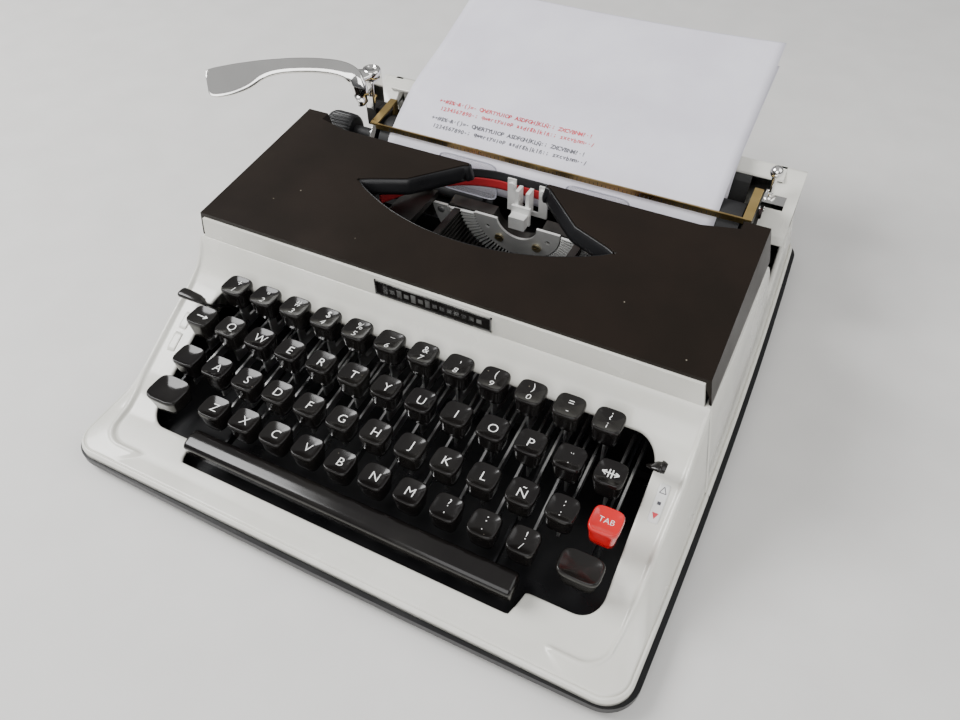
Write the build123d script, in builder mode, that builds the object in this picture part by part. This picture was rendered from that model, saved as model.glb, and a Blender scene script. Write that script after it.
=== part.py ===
"""Portable typewriter with a sliding carriage, modelled piece by piece in millimetres.

Working axes: X to the typist's right, Y from the front edge to the back, Z up, z = 0 on the desk.
finish() shifts every piece by the same amount, so the finished row has its origin on the desk
under the middle of the whole machine.
"""

import os
from math import atan2, cos, radians, sin

from build123d import *

os.makedirs("parts", exist_ok=True)

# ---------------------------------------------------------------- driving dimensions
ORIGIN_X, ORIGIN_Y = -26.0, 188.4  # middle of the plan, from the middle of the front edge of the case

CASE_HALF_WIDTH = 157.0  # half width at mid depth, on the black bottom band
CASE_CORNER_HALF = 153.6  # half width at the corners: the sides bow out a little
CASE_DEPTH = 345.0
CASE_CORNER_R = 16.4
FOOT_H = 5.0
BAND_TOP = 9.0  # top of the black bottom band
WALL = 2.5  # moulded wall of the case
CHEEK_TOP = 69.0  # top of the side cheeks beside the ribbon cover
CHEEK_END = 240.0  # the cheeks stop in front of the carriage
REAR_TOP = 38.0  # low rear rim that the carriage passes over

KEY_PITCH = 19.0
KEY_W, KEY_D, KEY_H = 14.0, 13.5, 9.5  # ordinary key cap
LEVER_T = 1.2  # steel strip of a key lever
LEVER_H = 5.0
PIVOT_Y, PIVOT_Z, PIVOT_R = 158.0, 36.0, 2.0  # rod that all key levers turn on
RUNNING = 0.05  # radial clearance of a running fit

# one entry per bank of typing keys: first key's x, number of keys, y, z of the cap's top, lever z
ROWS = {
    1: (-105.5, 12, 100.0, 64.1, 38.0),
    2: (-96.4, 11, 80.4, 54.5, 33.0),
    3: (-91.0, 11, 60.1, 45.8, 28.0),
    4: (-82.7, 10, 43.8, 35.8, 21.5),
}

COVER_FRONT_Y, COVER_FRONT_Z = 120.0, 86.8
COVER_BACK_Y, COVER_BACK_Z = 224.0, 96.6
COVER_HINGE = (224.0, 90.0)  # y, z of the axis that the ribbon cover swings on

CARRIAGE_X = 6.5  # the carriage stands a few spaces right of centre
PLATEN_Y, PLATEN_Z, PLATEN_R = 262.0, 63.0, 16.0
PLATEN_LEN = 230.0
SHAFT_R = 4.0
PLATE_IN, PLATE_OUT = 118.0, 121.0  # carriage end plates, measured from CARRIAGE_X
PAPER_W, PAPER_T, PAPER_X = 210.0, 0.3, 4.0

SEGMENT = Plane(origin=(0, 227, 54), x_dir=(1, 0, 0), z_dir=(0, -0.98, -0.2))


def finish(part, name):
    """Label a finished piece, move it to the row's origin and write its STEP file."""
    piece = part.moved(Location((-ORIGIN_X, -ORIGIN_Y, 0)))
    piece.label = name
    export_step(piece, f"parts/{name}.step")


def case_outline(inset=0.0):
    """Plan of the case: four softly bowed sides with round corners, drawn in the open sketch."""
    w, m = CASE_CORNER_HALF - inset, CASE_HALF_WIDTH - inset
    y0, y1 = 1.9 + inset, CASE_DEPTH - 1.9 - inset
    with BuildLine() as sides:
        ThreePointArc((-w, y0), (0, y0 - 1.9), (w, y0))
        ThreePointArc((w, y0), (m, CASE_DEPTH / 2), (w, y1))
        ThreePointArc((w, y1), (0, y1 + 1.9), (-w, y1))
        ThreePointArc((-w, y1), (-m, CASE_DEPTH / 2), (-w, y0))
    make_face(sides.edges())


def side_profile(points, x0, x1):
    """Solid between two x positions with the given outline in the YZ plane."""
    with BuildPart() as body:
        with BuildSketch(Plane.YZ.offset(x0)):
            with BuildLine():
                Polyline(*points, close=True)
            make_face()
        extrude(amount=x1 - x0)
    return body.part


def rod_x(x0, x1, y, z, radius):
    """Round rod along X."""
    with BuildPart() as rod:
        with BuildSketch(Plane.YZ.offset(x0)):
            with Locations((y, z)):
                Circle(radius)
        extrude(amount=x1 - x0)
    return rod.part


def block(x0, x1, y0, y1, z0, z1):
    """Plain box between two corners."""
    with BuildPart() as box:
        with BuildSketch(Plane.XY.offset(z0)):
            with Locations(((x0 + x1) / 2, (y0 + y1) / 2)):
                Rectangle(x1 - x0, y1 - y0)
        extrude(amount=z1 - z0)
    return box.part


# ---------------------------------------------------------------- case
with BuildPart() as base_tray:
    with BuildSketch(Plane.XY.offset(FOOT_H)) as band:
        case_outline()
        fillet(band.vertices(), CASE_CORNER_R)
    extrude(amount=BAND_TOP - FOOT_H)
    with BuildSketch(Plane.XY.offset(FOOT_H + 1.5)) as hollow:
        case_outline(8)
        fillet(hollow.vertices(), CASE_CORNER_R - 6)
    extrude(amount=BAND_TOP, mode=Mode.SUBTRACT)
finish(base_tray.part, "base_tray")

with BuildPart() as rubber_feet:
    with BuildSketch():
        with Locations((0, CASE_DEPTH / 2)):
            with GridLocations(264, 290, 2, 2):
                Circle(9)
    extrude(amount=FOOT_H)
    chamfer(rubber_feet.faces().sort_by(Axis.Z)[0].edges(), 0.8)
finish(rubber_feet.part, "rubber_feet")

# height of the deck from the front lip up to the ribbon cover, then the cheeks and the low rear
DECK = [
    (-4, BAND_TOP), (-4, 13.5), (12, 13.5), (34, 15.5), (43, 19.5), (52.6, 26), (78, 39), (100, 49),
    (109, 56), (114, 63), (117.5, 71),
]
CHEEK = [(120, 71), (CHEEK_END - 9, CHEEK_TOP), (CHEEK_END, 61), (CHEEK_END + 1.5, 44), (245, 38.4), (262, REAR_TOP)]
REAR = [(CASE_DEPTH + 4, REAR_TOP - 2), (CASE_DEPTH + 4, BAND_TOP)]
TAPER = 5.0  # draft of the side walls


def lowered(points, drop):
    """The same profile, lower by drop, but never under the band."""
    return [(y, max(BAND_TOP - 1, z - drop)) for y, z in points]


with BuildPart() as case_hollow:
    with BuildSketch(Plane.XY.offset(BAND_TOP - 1)) as inner:
        case_outline(2.5 + WALL)
        fillet(inner.vertices(), CASE_CORNER_R - 4.5)
    extrude(amount=80, taper=TAPER)
    add(side_profile(lowered(DECK, WALL) + [(118, 110), (CASE_DEPTH + 4, 110), (CASE_DEPTH + 4, BAND_TOP - 1)],
                     -170, 170), mode=Mode.INTERSECT)

with BuildPart() as case_shell:
    with BuildSketch(Plane.XY.offset(BAND_TOP)) as rim:
        case_outline(2.5)
        fillet(rim.vertices(), CASE_CORNER_R - 2)
    extrude(amount=80, taper=TAPER)
    add(side_profile(DECK + CHEEK + REAR, -170, 170), mode=Mode.INTERSECT)
    add(case_hollow.part, mode=Mode.SUBTRACT)
    with BuildSketch(Plane.XY.offset(5)):
        with Locations((2, 70)):
            RectangleRounded(252, 75, 12)
        with Locations((1, 40)):
            RectangleRounded(186, 42, 4)
    extrude(amount=90, mode=Mode.SUBTRACT)
finish(case_shell.part, "case_shell")

# ---------------------------------------------------------------- inner frame
with BuildPart() as machine_frame:
    for side in (-1, 1):
        add(side_profile([(116, 6.5), (116, 40), (150, 44), (243, 44), (243, 32), (283, 32), (283, 43.4),
                          (312, 43.4), (312, 6.5)], side * 132 - 1, side * 132 + 1))
    add(block(-131, 131, 117, 121, 8, 14))
    add(block(-131, 131, 246, 252, 8, 24))
    add(block(-131, 131, 306, 310, 8, 34))
    for side in (-1, 1):
        add(block(side * 38 - 5, side * 38 + 5, 246, 250, 20, 34))
    with BuildSketch(Plane.YZ.offset(-140)):
        with Locations((PIVOT_Y, PIVOT_Z)):
            Circle(PIVOT_R)
    extrude(amount=280, mode=Mode.SUBTRACT)
finish(machine_frame.part, "machine_frame")
finish(rod_x(-134, 134, PIVOT_Y, PIVOT_Z, PIVOT_R), "lever_pivot_rod")

with BuildPart() as carriage_rails:
    add(block(-131, 131, 284, 300, 38, 43.4))
    add(block(-131, 131, 288, 296, 43.4, 46.2))
finish(carriage_rails.part, "carriage_rails")

BELL = (70, 268, 20)  # centre of the bell's rim
with BuildPart() as margin_bell:
    with Locations(BELL):
        Sphere(13, arc_size1=0)
        Sphere(11.8, arc_size1=0, mode=Mode.SUBTRACT)
    with Locations((BELL[0], BELL[1], FOOT_H + 1.5)):
        Cylinder(2.5, 26, align=(Align.CENTER, Align.CENTER, Align.MIN))
finish(margin_bell.part, "margin_bell")

# ---------------------------------------------------------------- type basket
SLOTS, SEGMENT_R, BAR_R = 44, 46.0, 40.0
with BuildPart() as type_segment:
    with BuildSketch(SEGMENT.offset(-8)):
        Circle(SEGMENT_R)
        Circle(16, mode=Mode.SUBTRACT)
        with Locations((0, 30)):
            Rectangle(120, 60, mode=Mode.SUBTRACT)
    extrude(amount=8)
    with BuildSketch(SEGMENT.offset(-6)):
        with PolarLocations(36, SLOTS, start_angle=183, angular_range=174, endpoint=True):
            Rectangle(14, 1.3)
    extrude(amount=8, mode=Mode.SUBTRACT)
    for side in (-1, 1):
        add(block(side * 38 - 4, side * 38 + 4, 233.5, 246, 26, 33))
finish(type_segment.part, "type_segment")

with BuildPart() as segment_plate:
    with BuildSketch(SEGMENT):
        Circle(28)
        Circle(13, mode=Mode.SUBTRACT)
        with Locations((0, 30)):
            Rectangle(120, 60, mode=Mode.SUBTRACT)
        with Locations((-12.5, -16), (12.5, -16), (-20, -9), (20, -9)):
            Circle(1.6, mode=Mode.SUBTRACT)
    extrude(amount=1.5)
finish(segment_plate.part, "segment_plate")

with BuildPart() as segment_screws:
    with BuildSketch(SEGMENT.offset(1.5)):
        with Locations((-12.5, -16), (12.5, -16)):
            Circle(3)
            Rectangle(7, 0.8, mode=Mode.SUBTRACT)
    extrude(amount=1.2)
    with BuildSketch(SEGMENT):
        with Locations((-12.5, -16), (12.5, -16)):
            Circle(1.55)
    extrude(amount=2)
finish(segment_screws.part, "segment_screws")


def typebar():
    """Flat steel bar lying forward from its slot, with the type slug on its free end."""
    with BuildPart() as bar:
        with BuildSketch(Plane.XZ):
            Rectangle(4.4, 1.0)
        extrude(amount=50)
        with BuildSketch(Plane.XZ.offset(44)):
            Rectangle(7, 2.4)
        extrude(amount=6)
    return bar.part


with BuildPart() as typebars:
    bar = typebar()
    for i in range(SLOTS):
        turn = 183 + 174 * i / (SLOTS - 1)
        a = radians(turn)
        spot = SEGMENT.offset(0.4).from_local_coords(Vector(BAR_R * cos(a), BAR_R * sin(a), 0))
        add(bar.moved(Location((spot.X, spot.Y, spot.Z), (0, -turn, 0))))
finish(typebars.part, "typebars")

with BuildPart() as type_guide:
    add(block(-5, 5, 225, 231, 50, 58))
    add(block(-6, 6, 231, 233, 50, 62))
    for side in (-1, 1):
        add(block(side * 3.4 - 1.1, side * 3.4 + 1.1, 233, 240, 56, 71))
finish(type_guide.part, "type_guide")

with BuildPart() as ribbon_vibrator:
    with BuildSketch(Plane.XZ.offset(-242)):
        with Locations((0, 62)):
            Rectangle(26, 22)
            with Locations((0, 2)):
                Rectangle(15, 26, mode=Mode.SUBTRACT)
        with Locations((0, 52.5)):
            Rectangle(26, 3)
    extrude(amount=1.2)
    with BuildSketch(Plane.XZ.offset(-240.8)):
        with Locations((-10, 69), (10, 69)):
            Circle(2)
    extrude(amount=1.5)
finish(ribbon_vibrator.part, "ribbon_vibrator")

with BuildPart() as ribbon_castings:
    for side in (-1, 1):
        add(block(side * 63 - 9, side * 63 + 9, 196, 228, 56, 60))
        add(block(side * 66 - 5, side * 66 + 5, 224, 228, 60, 68))
        add(block(side * 63 - 4, side * 63 + 4, 228, 231, 40, 68))
        add(block(side * 95 - 26 if side < 0 else 54, side * 95 + 41 if side < 0 else 121, 190, 196, 56, 60))
        add(block(side * 126 - 5, side * 126 + 5, 186, 200, 44, 60))
finish(ribbon_castings.part, "ribbon_castings")

SPOOL_X, SPOOL_Y, SPOOL_Z, SPOOL_R = 97, 193, 60.4, 21


def ribbon_spool(x, wound):
    """Flanged spool with the ribbon wound on it, turning on a vertical stud."""
    with BuildPart() as spool:
        with BuildSketch(Plane.XY.offset(SPOOL_Z)):
            with Locations((x, SPOOL_Y)):
                Circle(SPOOL_R)
        extrude(amount=1)
        with BuildSketch(Plane.XY.offset(SPOOL_Z + 1)):
            with Locations((x, SPOOL_Y)):
                Circle(wound)
        extrude(amount=13.5)
        with BuildSketch(Plane.XY.offset(SPOOL_Z + 14.5)):
            with Locations((x, SPOOL_Y)):
                Circle(SPOOL_R)
        extrude(amount=1)
    return spool.part


finish(ribbon_spool(-SPOOL_X, 17), "ribbon_spool_left")
finish(ribbon_spool(SPOOL_X, 11), "ribbon_spool_right")

RIBBON_Z0, RIBBON_Z1 = 62.0, 74.5
with BuildPart() as ink_ribbon:
    with BuildSketch(Plane.XY.offset(RIBBON_Z0)):
        for side in (-1, 1):
            with BuildLine() as path:
                Polyline((side * 77, 200), (side * 50, 232), (side * 22, 243), (0, 243))
            trace(path.edges(), 0.25)
    extrude(amount=RIBBON_Z1 - RIBBON_Z0)
finish(ink_ribbon.part, "ink_ribbon")

with BuildPart() as card_holders:
    for side in (-1, 1):
        with BuildSketch(Plane.XZ.offset(-244.9)) as card:
            with Locations((side * 42, 64)):
                RectangleRounded(40, 26, 6)
        extrude(amount=0.7)
        add(block(side * 63 - 3, side * 63 + 3, 231, 244.9, 54, 57))
        add(block(side * 52 - 10, side * 52 + 10, 243, 244.2, 51.5, 57))
finish(card_holders.part, "card_holders")

# ---------------------------------------------------------------- keys and their levers


def key_cap(width, depth, height):
    """Moulded cap: rounded square top with a shallow dish, sides tapering down to the stem."""
    with BuildPart() as cap:
        with BuildSketch(Plane.XY.offset(-height)):
            RectangleRounded(width * 0.72, depth * 0.72, 2)
        with BuildSketch(Plane.XY.offset(-2)):
            RectangleRounded(width, depth, 3.6)
        loft()
        with BuildSketch(Plane.XY.offset(-2)):
            RectangleRounded(width, depth, 3.6)
        with BuildSketch():
            RectangleRounded(width * 0.88, depth * 0.88, 3.2)
        loft()
    return cap.part


def key_lever(y, top, bar_z, bore=True):
    """Lever strip in the YZ plane: bar from the pivot to the key, upright stem under the cap."""
    half = LEVER_H / 2
    rise = (PIVOT_Z - bar_z) / (PIVOT_Y - y)
    with BuildPart() as lever:
        with BuildSketch(Plane.YZ.offset(-LEVER_T / 2)):
            with BuildLine():
                Polyline((y - 2.5, bar_z - half), (PIVOT_Y, PIVOT_Z - half - 1), (PIVOT_Y + 12, PIVOT_Z - 3),
                         (PIVOT_Y + 12, PIVOT_Z + 1), (PIVOT_Y, PIVOT_Z + half + 1),
                         (y + 2.5, bar_z + half + 2.5 * rise), (y + 2.5, top), (y - 2.5, top), close=True)
            make_face()
            with Locations((PIVOT_Y, PIVOT_Z)):
                Circle(PIVOT_R + RUNNING, mode=Mode.SUBTRACT)
        extrude(amount=LEVER_T)
    return lever.part


for row, (first_x, count, y, top_z, bar_z) in ROWS.items():
    cap, lever = key_cap(KEY_W, KEY_D, KEY_H), key_lever(y, top_z - KEY_H, bar_z)
    columns = [first_x + KEY_PITCH * i for i in range(count)]
    with BuildPart() as caps:
        for x in columns:
            add(cap.moved(Location((x, y, top_z))))
    finish(caps.part, f"key_caps_row_{row}")
    with BuildPart() as levers:
        for x in columns:
            add(lever.moved(Location((x, 0, 0))))
    finish(levers.part, f"key_levers_row_{row}")

# working keys beside the typing keys: x, y, z of the top, cap width, depth, height, lever z
WORK_KEYS = {
    "shift_lock": (-110, 60.1, 45.8, KEY_W, KEY_D, KEY_H, 28.0),
    "backspace": (-115.4, 80.4, 54.5, KEY_W, KEY_D, KEY_H, 33.0),
    "margin_release": (112.6, 80.4, 54.5, KEY_W, KEY_D, KEY_H, 33.0),
    "tab": (119, 58.5, 52, 14, 13.5, 12, 28.0),
}
for name, (x, y, top_z, w, d, h, bar_z) in WORK_KEYS.items():
    finish(key_cap(w, d, h).moved(Location((x, y, top_z))), f"{name}_key")
    finish(key_lever(y, top_z - h, bar_z).moved(Location((x, 0, 0))), f"{name}_lever")

SHIFT = [(-110, -118.5, 41.5, 38, 20, 17), (115, 115.5, 43, 36, 20, 14)]  # cap x, lever x, y, top, w, d
with BuildPart() as shift_keys:
    for cap_x, _, y, top_z, w, d in SHIFT:
        add(key_cap(w, d, 8.5).moved(Location((cap_x, y, top_z))))
finish(shift_keys.part, "shift_keys")

with BuildPart() as shift_levers:
    for cap_x, lever_x, y, top_z, _, _ in SHIFT:
        add(key_lever(y, top_z - 10, 21.5).moved(Location((lever_x, 0, 0))))
        add(block(min(cap_x, lever_x) - 3, max(cap_x, lever_x) + 3, y - 3, y + 3, top_z - 10, top_z - 8.5))
        add(block(lever_x - 0.6, lever_x + 0.6, 146, 156, 20, 35))
    add(rod_x(-118.5, 115.5, 149, 22, 2.4))
finish(shift_levers.part, "shift_levers")

SPACE_X0, SPACE_X1 = -88.0, 92.0
with BuildPart() as space_bar:
    with BuildSketch(Plane.YZ.offset(SPACE_X0)):
        with BuildLine():
            Polyline((22.6, 18.5), (32.5, 18.5), (33.6, 26.6), (30, 28), (23, 27.2), (21.6, 25.5), close=True)
        make_face()
    extrude(amount=SPACE_X1 - SPACE_X0)
    fillet(space_bar.edges().filter_by(Axis.X), 0.7)
finish(space_bar.part, "space_bar")

with BuildPart() as space_bar_levers:
    for x in (-74.7, 77.3):
        add(key_lever(28, 18.5, 15.2).moved(Location((x, 0, 0))))
        add(block(x - 0.6, x + 0.6, 150, 154, 26, 34))
    add(block(-74.7, 77.3, 150, 154, 26, 30))
finish(space_bar_levers.part, "space_bar_levers")

# ---------------------------------------------------------------- small controls on the deck
DECK_SLOPE = atan2(39 - 26, 78 - 52.6)
with BuildPart() as selector_plate:
    with BuildSketch(Plane(origin=(135.3, 83, 41.6), x_dir=(1, 0, 0), z_dir=(0, -sin(DECK_SLOPE), cos(DECK_SLOPE)))):
        RectangleRounded(5, 18, 1)
    extrude(amount=0.6)
finish(selector_plate.part, "selector_plate")


FINGER_HUB = (112, 26)  # y, z of the pins that both finger levers turn on


def finger_lever(arm_x, tip_x, tip_y, tip_z):
    """Small finger lever: a hub on the side frame, an arm up through the well and a bent tip."""
    with BuildPart() as lever:
        with BuildSketch(Plane.YZ.offset(arm_x - 0.6)):
            with BuildLine() as spine:
                Line(FINGER_HUB, (tip_y, tip_z))
            trace(spine.edges(), 4.0)
            with Locations(FINGER_HUB):
                Circle(4)
        extrude(amount=1.2)
        add(block(*sorted((arm_x, tip_x)), tip_y - 2.4, tip_y + 2.4, tip_z - 2, tip_z + 1.4))
    return lever.part


finish(finger_lever(126.6, 132.4, 92, 54.5), "colour_lever")
finish(finger_lever(-122.9, -136, 90, 53.5), "touch_lever")

# ---------------------------------------------------------------- ribbon cover
def cover_z(y):
    """Height of the cover's top skin, a straight ramp from front to back."""
    return COVER_FRONT_Z + (COVER_BACK_Z - COVER_FRONT_Z) * (y - COVER_FRONT_Y) / (COVER_BACK_Y - COVER_FRONT_Y)


def cover_prism(inset, y0, y1, drop):
    """Wedge under the cover's top ramp, its sides leaning in towards the top."""
    with BuildPart() as wedge:
        with BuildSketch(Plane.XY.offset(71.4)):
            with BuildLine():
                Polyline((-142.4 + inset, y0), (142.4 - inset, y0), (143.4 - inset, y1), (-143.4 + inset, y1),
                         close=True)
            make_face()
        extrude(amount=34, taper=10)
        add(side_profile([(90, 60), (90, cover_z(90) - drop), (224, cover_z(224) - drop), (232, 72 - drop),
                          (232, 60)] if drop == 0 else
                         [(90, 60), (90, cover_z(90) - drop), (260, cover_z(260) - drop), (260, 60)], -170, 170),
            mode=Mode.INTERSECT)
    return wedge.part


with BuildPart() as ribbon_cover:
    add(cover_prism(0, 110, 236, 0))
    add(cover_prism(2.2, 90, 260, 2), mode=Mode.SUBTRACT)
    add(block(-170, 170, 100, 120.2, 60, 120), mode=Mode.SUBTRACT)
    with BuildSketch(Plane.XY.offset(60)):
        with BuildLine() as eye:
            ThreePointArc((-75, 177), (0, 155), (75, 177))
            Polyline((75, 177), (50, 187), (28, 210), (28, 240), (-24, 240), (-24, 210), (-50, 187), (-75, 177))
        make_face(eye.edges())
        with BuildLine() as back:
            Polyline((-126, 240), (-126, 218), (-107, 213.5), (107, 213.5), (126, 218), (126, 240), close=True)
        make_face(back.edges())
    extrude(amount=60, mode=Mode.SUBTRACT)
    for side in (-1, 1):
        add(rod_x(*sorted((side * 134, side * 138.4)), 221.5, 90, 1.8))
finish(ribbon_cover.part, "ribbon_cover")

with BuildPart() as cover_front_strip:
    with BuildSketch(Plane.XZ.offset(-120.4)):
        with BuildLine():
            Polyline((-139.6, 71.6), (139.6, 71.6), (137.4, 84.6), (-137.4, 84.6), close=True)
        make_face()
    extrude(amount=1.8)
finish(cover_front_strip.part, "cover_front_strip")

with BuildPart() as name_plate:
    with BuildSketch(Plane.XZ.offset(-118.6)):
        with Locations((4, 78)):
            RectangleRounded(65, 9, 0.8)
    extrude(amount=0.9)
finish(name_plate.part, "name_plate")

# ---------------------------------------------------------------- carriage
END_PLATE = [(247, 47), (247, 70), (254, 78.4), (276, 78.4), (296.5, 62), (296.5, 47)]


def carriage(x):
    """An x measured from the middle of the carriage."""
    return CARRIAGE_X + x


with BuildPart() as carriage_frame:
    for side in (-1, 1):
        mid = side * (PLATE_IN + PLATE_OUT) / 2
        add(side_profile(END_PLATE, carriage(mid - 1.5), carriage(mid + 1.5)))
    add(block(carriage(-PLATE_IN), carriage(PLATE_IN), 283, 303, 46.6, 49))
    add(block(carriage(-PLATE_IN), carriage(PLATE_IN), 300.6, 303, 49, 60))
    with BuildSketch(Plane.YZ.offset(-150)):
        with Locations((PLATEN_Y, PLATEN_Z)):
            Circle(SHAFT_R + RUNNING)
    extrude(amount=320, mode=Mode.SUBTRACT)
    add(block(carriage(-134), carriage(-PLATE_OUT), 268, 277, 76, 80))
    add(block(carriage(-134), carriage(-127), 266, 277, 68, 99))
    for side in (-1, 1):
        add(rod_x(*sorted((carriage(side * (PLATE_IN - 2.4)), carriage(side * PLATE_IN))), 273, 70, 1.5))
finish(carriage_frame.part, "carriage_frame")

with BuildPart() as carriage_cover:
    add(side_profile([(297, 49), (299.5, 49), (300.5, 84), (299, 88), (296, 88), (289, 84), (289, 82), (296, 85)],
                     -122, 135))
    add(side_profile([(299.5, 50), (300.5, 84), (299, 88), (296, 88), (266, 62), (266, 56), (270, 56),
                      (296, 78)], 129.2, 151))
    add(side_profile([(299.5, 50), (300.5, 84), (299, 88), (296, 88), (284, 76), (284, 74), (296, 78)],
                     -131, -117))
    add(block(-170, 170, 304.3, 330, 40, 90), mode=Mode.SUBTRACT)
finish(carriage_cover.part, "carriage_cover")

with BuildPart() as paper_table:
    add(side_profile([(281.5, 49.2), (282.7, 49.2), (282.7, 66), (286.6, 80), (288.4, 83.5), (287, 83.8),
                      (285.4, 80.4), (281.5, 66)], carriage(-112), carriage(112)))
finish(paper_table.part, "paper_table")

with BuildPart() as feed_rollers:
    for x in (-60, 60):
        for y, z in ((251.2, 44.3), (272.8, 44.3)):
            add(rod_x(carriage(x - 20), carriage(x + 20), y, z, 4.5))
            add(rod_x(carriage(x - 26), carriage(x + 26), y, z, 2))
finish(feed_rollers.part, "feed_rollers")

with BuildPart() as platen_roller:
    add(rod_x(carriage(-PLATEN_LEN / 2), carriage(PLATEN_LEN / 2), PLATEN_Y, PLATEN_Z, PLATEN_R))
    add(rod_x(-152, carriage(-PLATEN_LEN / 2), PLATEN_Y, PLATEN_Z, SHAFT_R))
    add(rod_x(carriage(PLATEN_LEN / 2), carriage(PLATE_OUT + 2), PLATEN_Y, PLATEN_Z, SHAFT_R))
finish(platen_roller.part, "platen_roller")

with BuildPart() as platen_knob:
    with BuildSketch(Plane.YZ.offset(-155)):
        with Locations((PLATEN_Y, PLATEN_Z)):
            Circle(10.5)
    extrude(amount=20)
    with BuildSketch(Plane.YZ.offset(-152)):
        with Locations((PLATEN_Y, PLATEN_Z)):
            Circle(SHAFT_R)
    extrude(amount=20, mode=Mode.SUBTRACT)
finish(platen_knob.part, "platen_knob")

with BuildPart() as platen_ratchet:
    with BuildSketch(Plane.YZ.offset(carriage(-PLATE_OUT - 4))):
        with Locations((PLATEN_Y, PLATEN_Z)):
            Circle(10)
            with PolarLocations(10.3, 24):
                Rectangle(1.6, 1.3)
            Circle(SHAFT_R, mode=Mode.SUBTRACT)
    extrude(amount=3)
finish(platen_ratchet.part, "platen_ratchet")

PAPER_R = PLATEN_R + 0.4
with BuildPart() as paper_sheet:
    leave = radians(114)
    with BuildSketch(Plane.YZ.offset(PAPER_X - PAPER_W / 2)):
        with BuildLine() as sheet:
            tail = Line((PLATEN_Y + PAPER_R, PLATEN_Z + 2), (PLATEN_Y + PAPER_R, PLATEN_Z))
            CenterArc((PLATEN_Y, PLATEN_Z), PAPER_R, 0, -246)
            Spline((PLATEN_Y + PAPER_R * cos(leave), PLATEN_Z + PAPER_R * sin(leave)), (318, 103), (377, 121),
                   tangents=((sin(leave), -cos(leave)), (0.97, 0.24)))
            Spline((PLATEN_Y + PAPER_R, PLATEN_Z + 2), (290.5, 89), (330, 100), (374, 109),
                   tangents=((0, 1), (0.98, 0.18)))
        trace(sheet.edges(), PAPER_T)
    extrude(amount=PAPER_W)
finish(paper_sheet.part, "paper_sheet")

BAIL_PIVOT = (273, 70)
with BuildPart() as paper_bail:
    for side in (-1, 1):
        mid = carriage(side * 116.7)
        add(side_profile([(270, 66), (276, 66), (276, 84.4), (252, 80.6), (252, 79.4), (273, 82.8), (270, 74)],
                         mid - 0.7, mid + 0.7))
        a, b = sorted((carriage(side * 116), carriage(side * 121)))
        add(side_profile([(250, 79.1), (276, 83.2), (276, 84.4), (250, 80.3)], a, b))
    add(block(carriage(-117), carriage(117), 250, 251.2, 77, 80.3))
    with BuildSketch(Plane.YZ.offset(-150)):
        with Locations(BAIL_PIVOT):
            Circle(1.55)
    extrude(amount=320, mode=Mode.SUBTRACT)
finish(paper_bail.part, "paper_bail")

LEVER_HUB = (-124.0, 271.5)
with BuildPart() as return_lever:
    with BuildSketch(Plane.XY.offset(99.4)):
        with Locations(LEVER_HUB):
            Circle(6)
    extrude(amount=6)
    with BuildSketch(Plane.XY.offset(101)):
        with BuildLine():
            Polyline((-121, 266), (-127, 276), (-150, 270), (-178, 256), (-203, 234), (-209, 219), (-201, 212),
                     (-187, 224), (-164, 242), (-142, 256), close=True)
        make_face()
    extrude(amount=3)
finish(return_lever.part, "return_lever")

with BuildPart() as paper_release_lever:
    add(side_profile([(266, 72), (272, 72), (274, 82), (270, 87), (262, 86), (262, 83.5), (268, 82)],
                     carriage(122.2), carriage(124)))
    add(block(carriage(122.2), carriage(134), 261, 270, 83.5, 86.4))
    add(rod_x(carriage(121.5), carriage(124.4), 270, 76, 1.6))
finish(paper_release_lever.part, "paper_release_lever")

RELEASE_HUB = (280.5, 79.5)
with BuildPart() as carriage_release_lever:
    add(rod_x(carriage(121.9), carriage(126), *RELEASE_HUB, 2.6))
    with BuildSketch(Plane.XY.offset(RELEASE_HUB[1])):
        with Locations((carriage(124.4), RELEASE_HUB[0])):
            Circle(1.6)
    extrude(amount=17)
    with Locations((carriage(124.4), RELEASE_HUB[0], 94)):
        Sphere(3.6)
finish(carriage_release_lever.part, "carriage_release_lever")


def margin_stop(x):
    """Sliding margin stop on the rack behind the carriage, with a finger tab."""
    with BuildPart() as stop:
        add(block(x - 4, x + 4, 304.6, 308, 49, 66))
        add(block(x - 2.5, x + 2.5, 308, 312, 60, 66))
    return stop.part


finish(margin_stop(carriage(-95)), "margin_stop_left")
finish(margin_stop(carriage(95)), "margin_stop_right")

with BuildPart() as mainspring_drum:
    with BuildSketch(Plane.XZ.offset(-296)):
        with Locations((-95, 22)):
            Circle(14)
    extrude(amount=8)
    with BuildSketch(Plane.XZ.offset(-301)):
        with Locations((-95, 22)):
            Circle(3)
    extrude(amount=5)
finish(mainspring_drum.part, "mainspring_drum")
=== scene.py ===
# %% [markdown]
# # Portable typewriter
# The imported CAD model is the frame. Everything here is a look laid over it: surfaces worked out with
# numpy, and node materials. Lengths below are millimetres on the machine's own axes (X to the typist's
# right from the middle of the case, Y back from its front edge, Z up from the desk); at() turns them into
# frame metres.

# %% Load the frame
import math

import bmesh
import bpy
import numpy as np
from mathutils import Matrix, Vector


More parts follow.
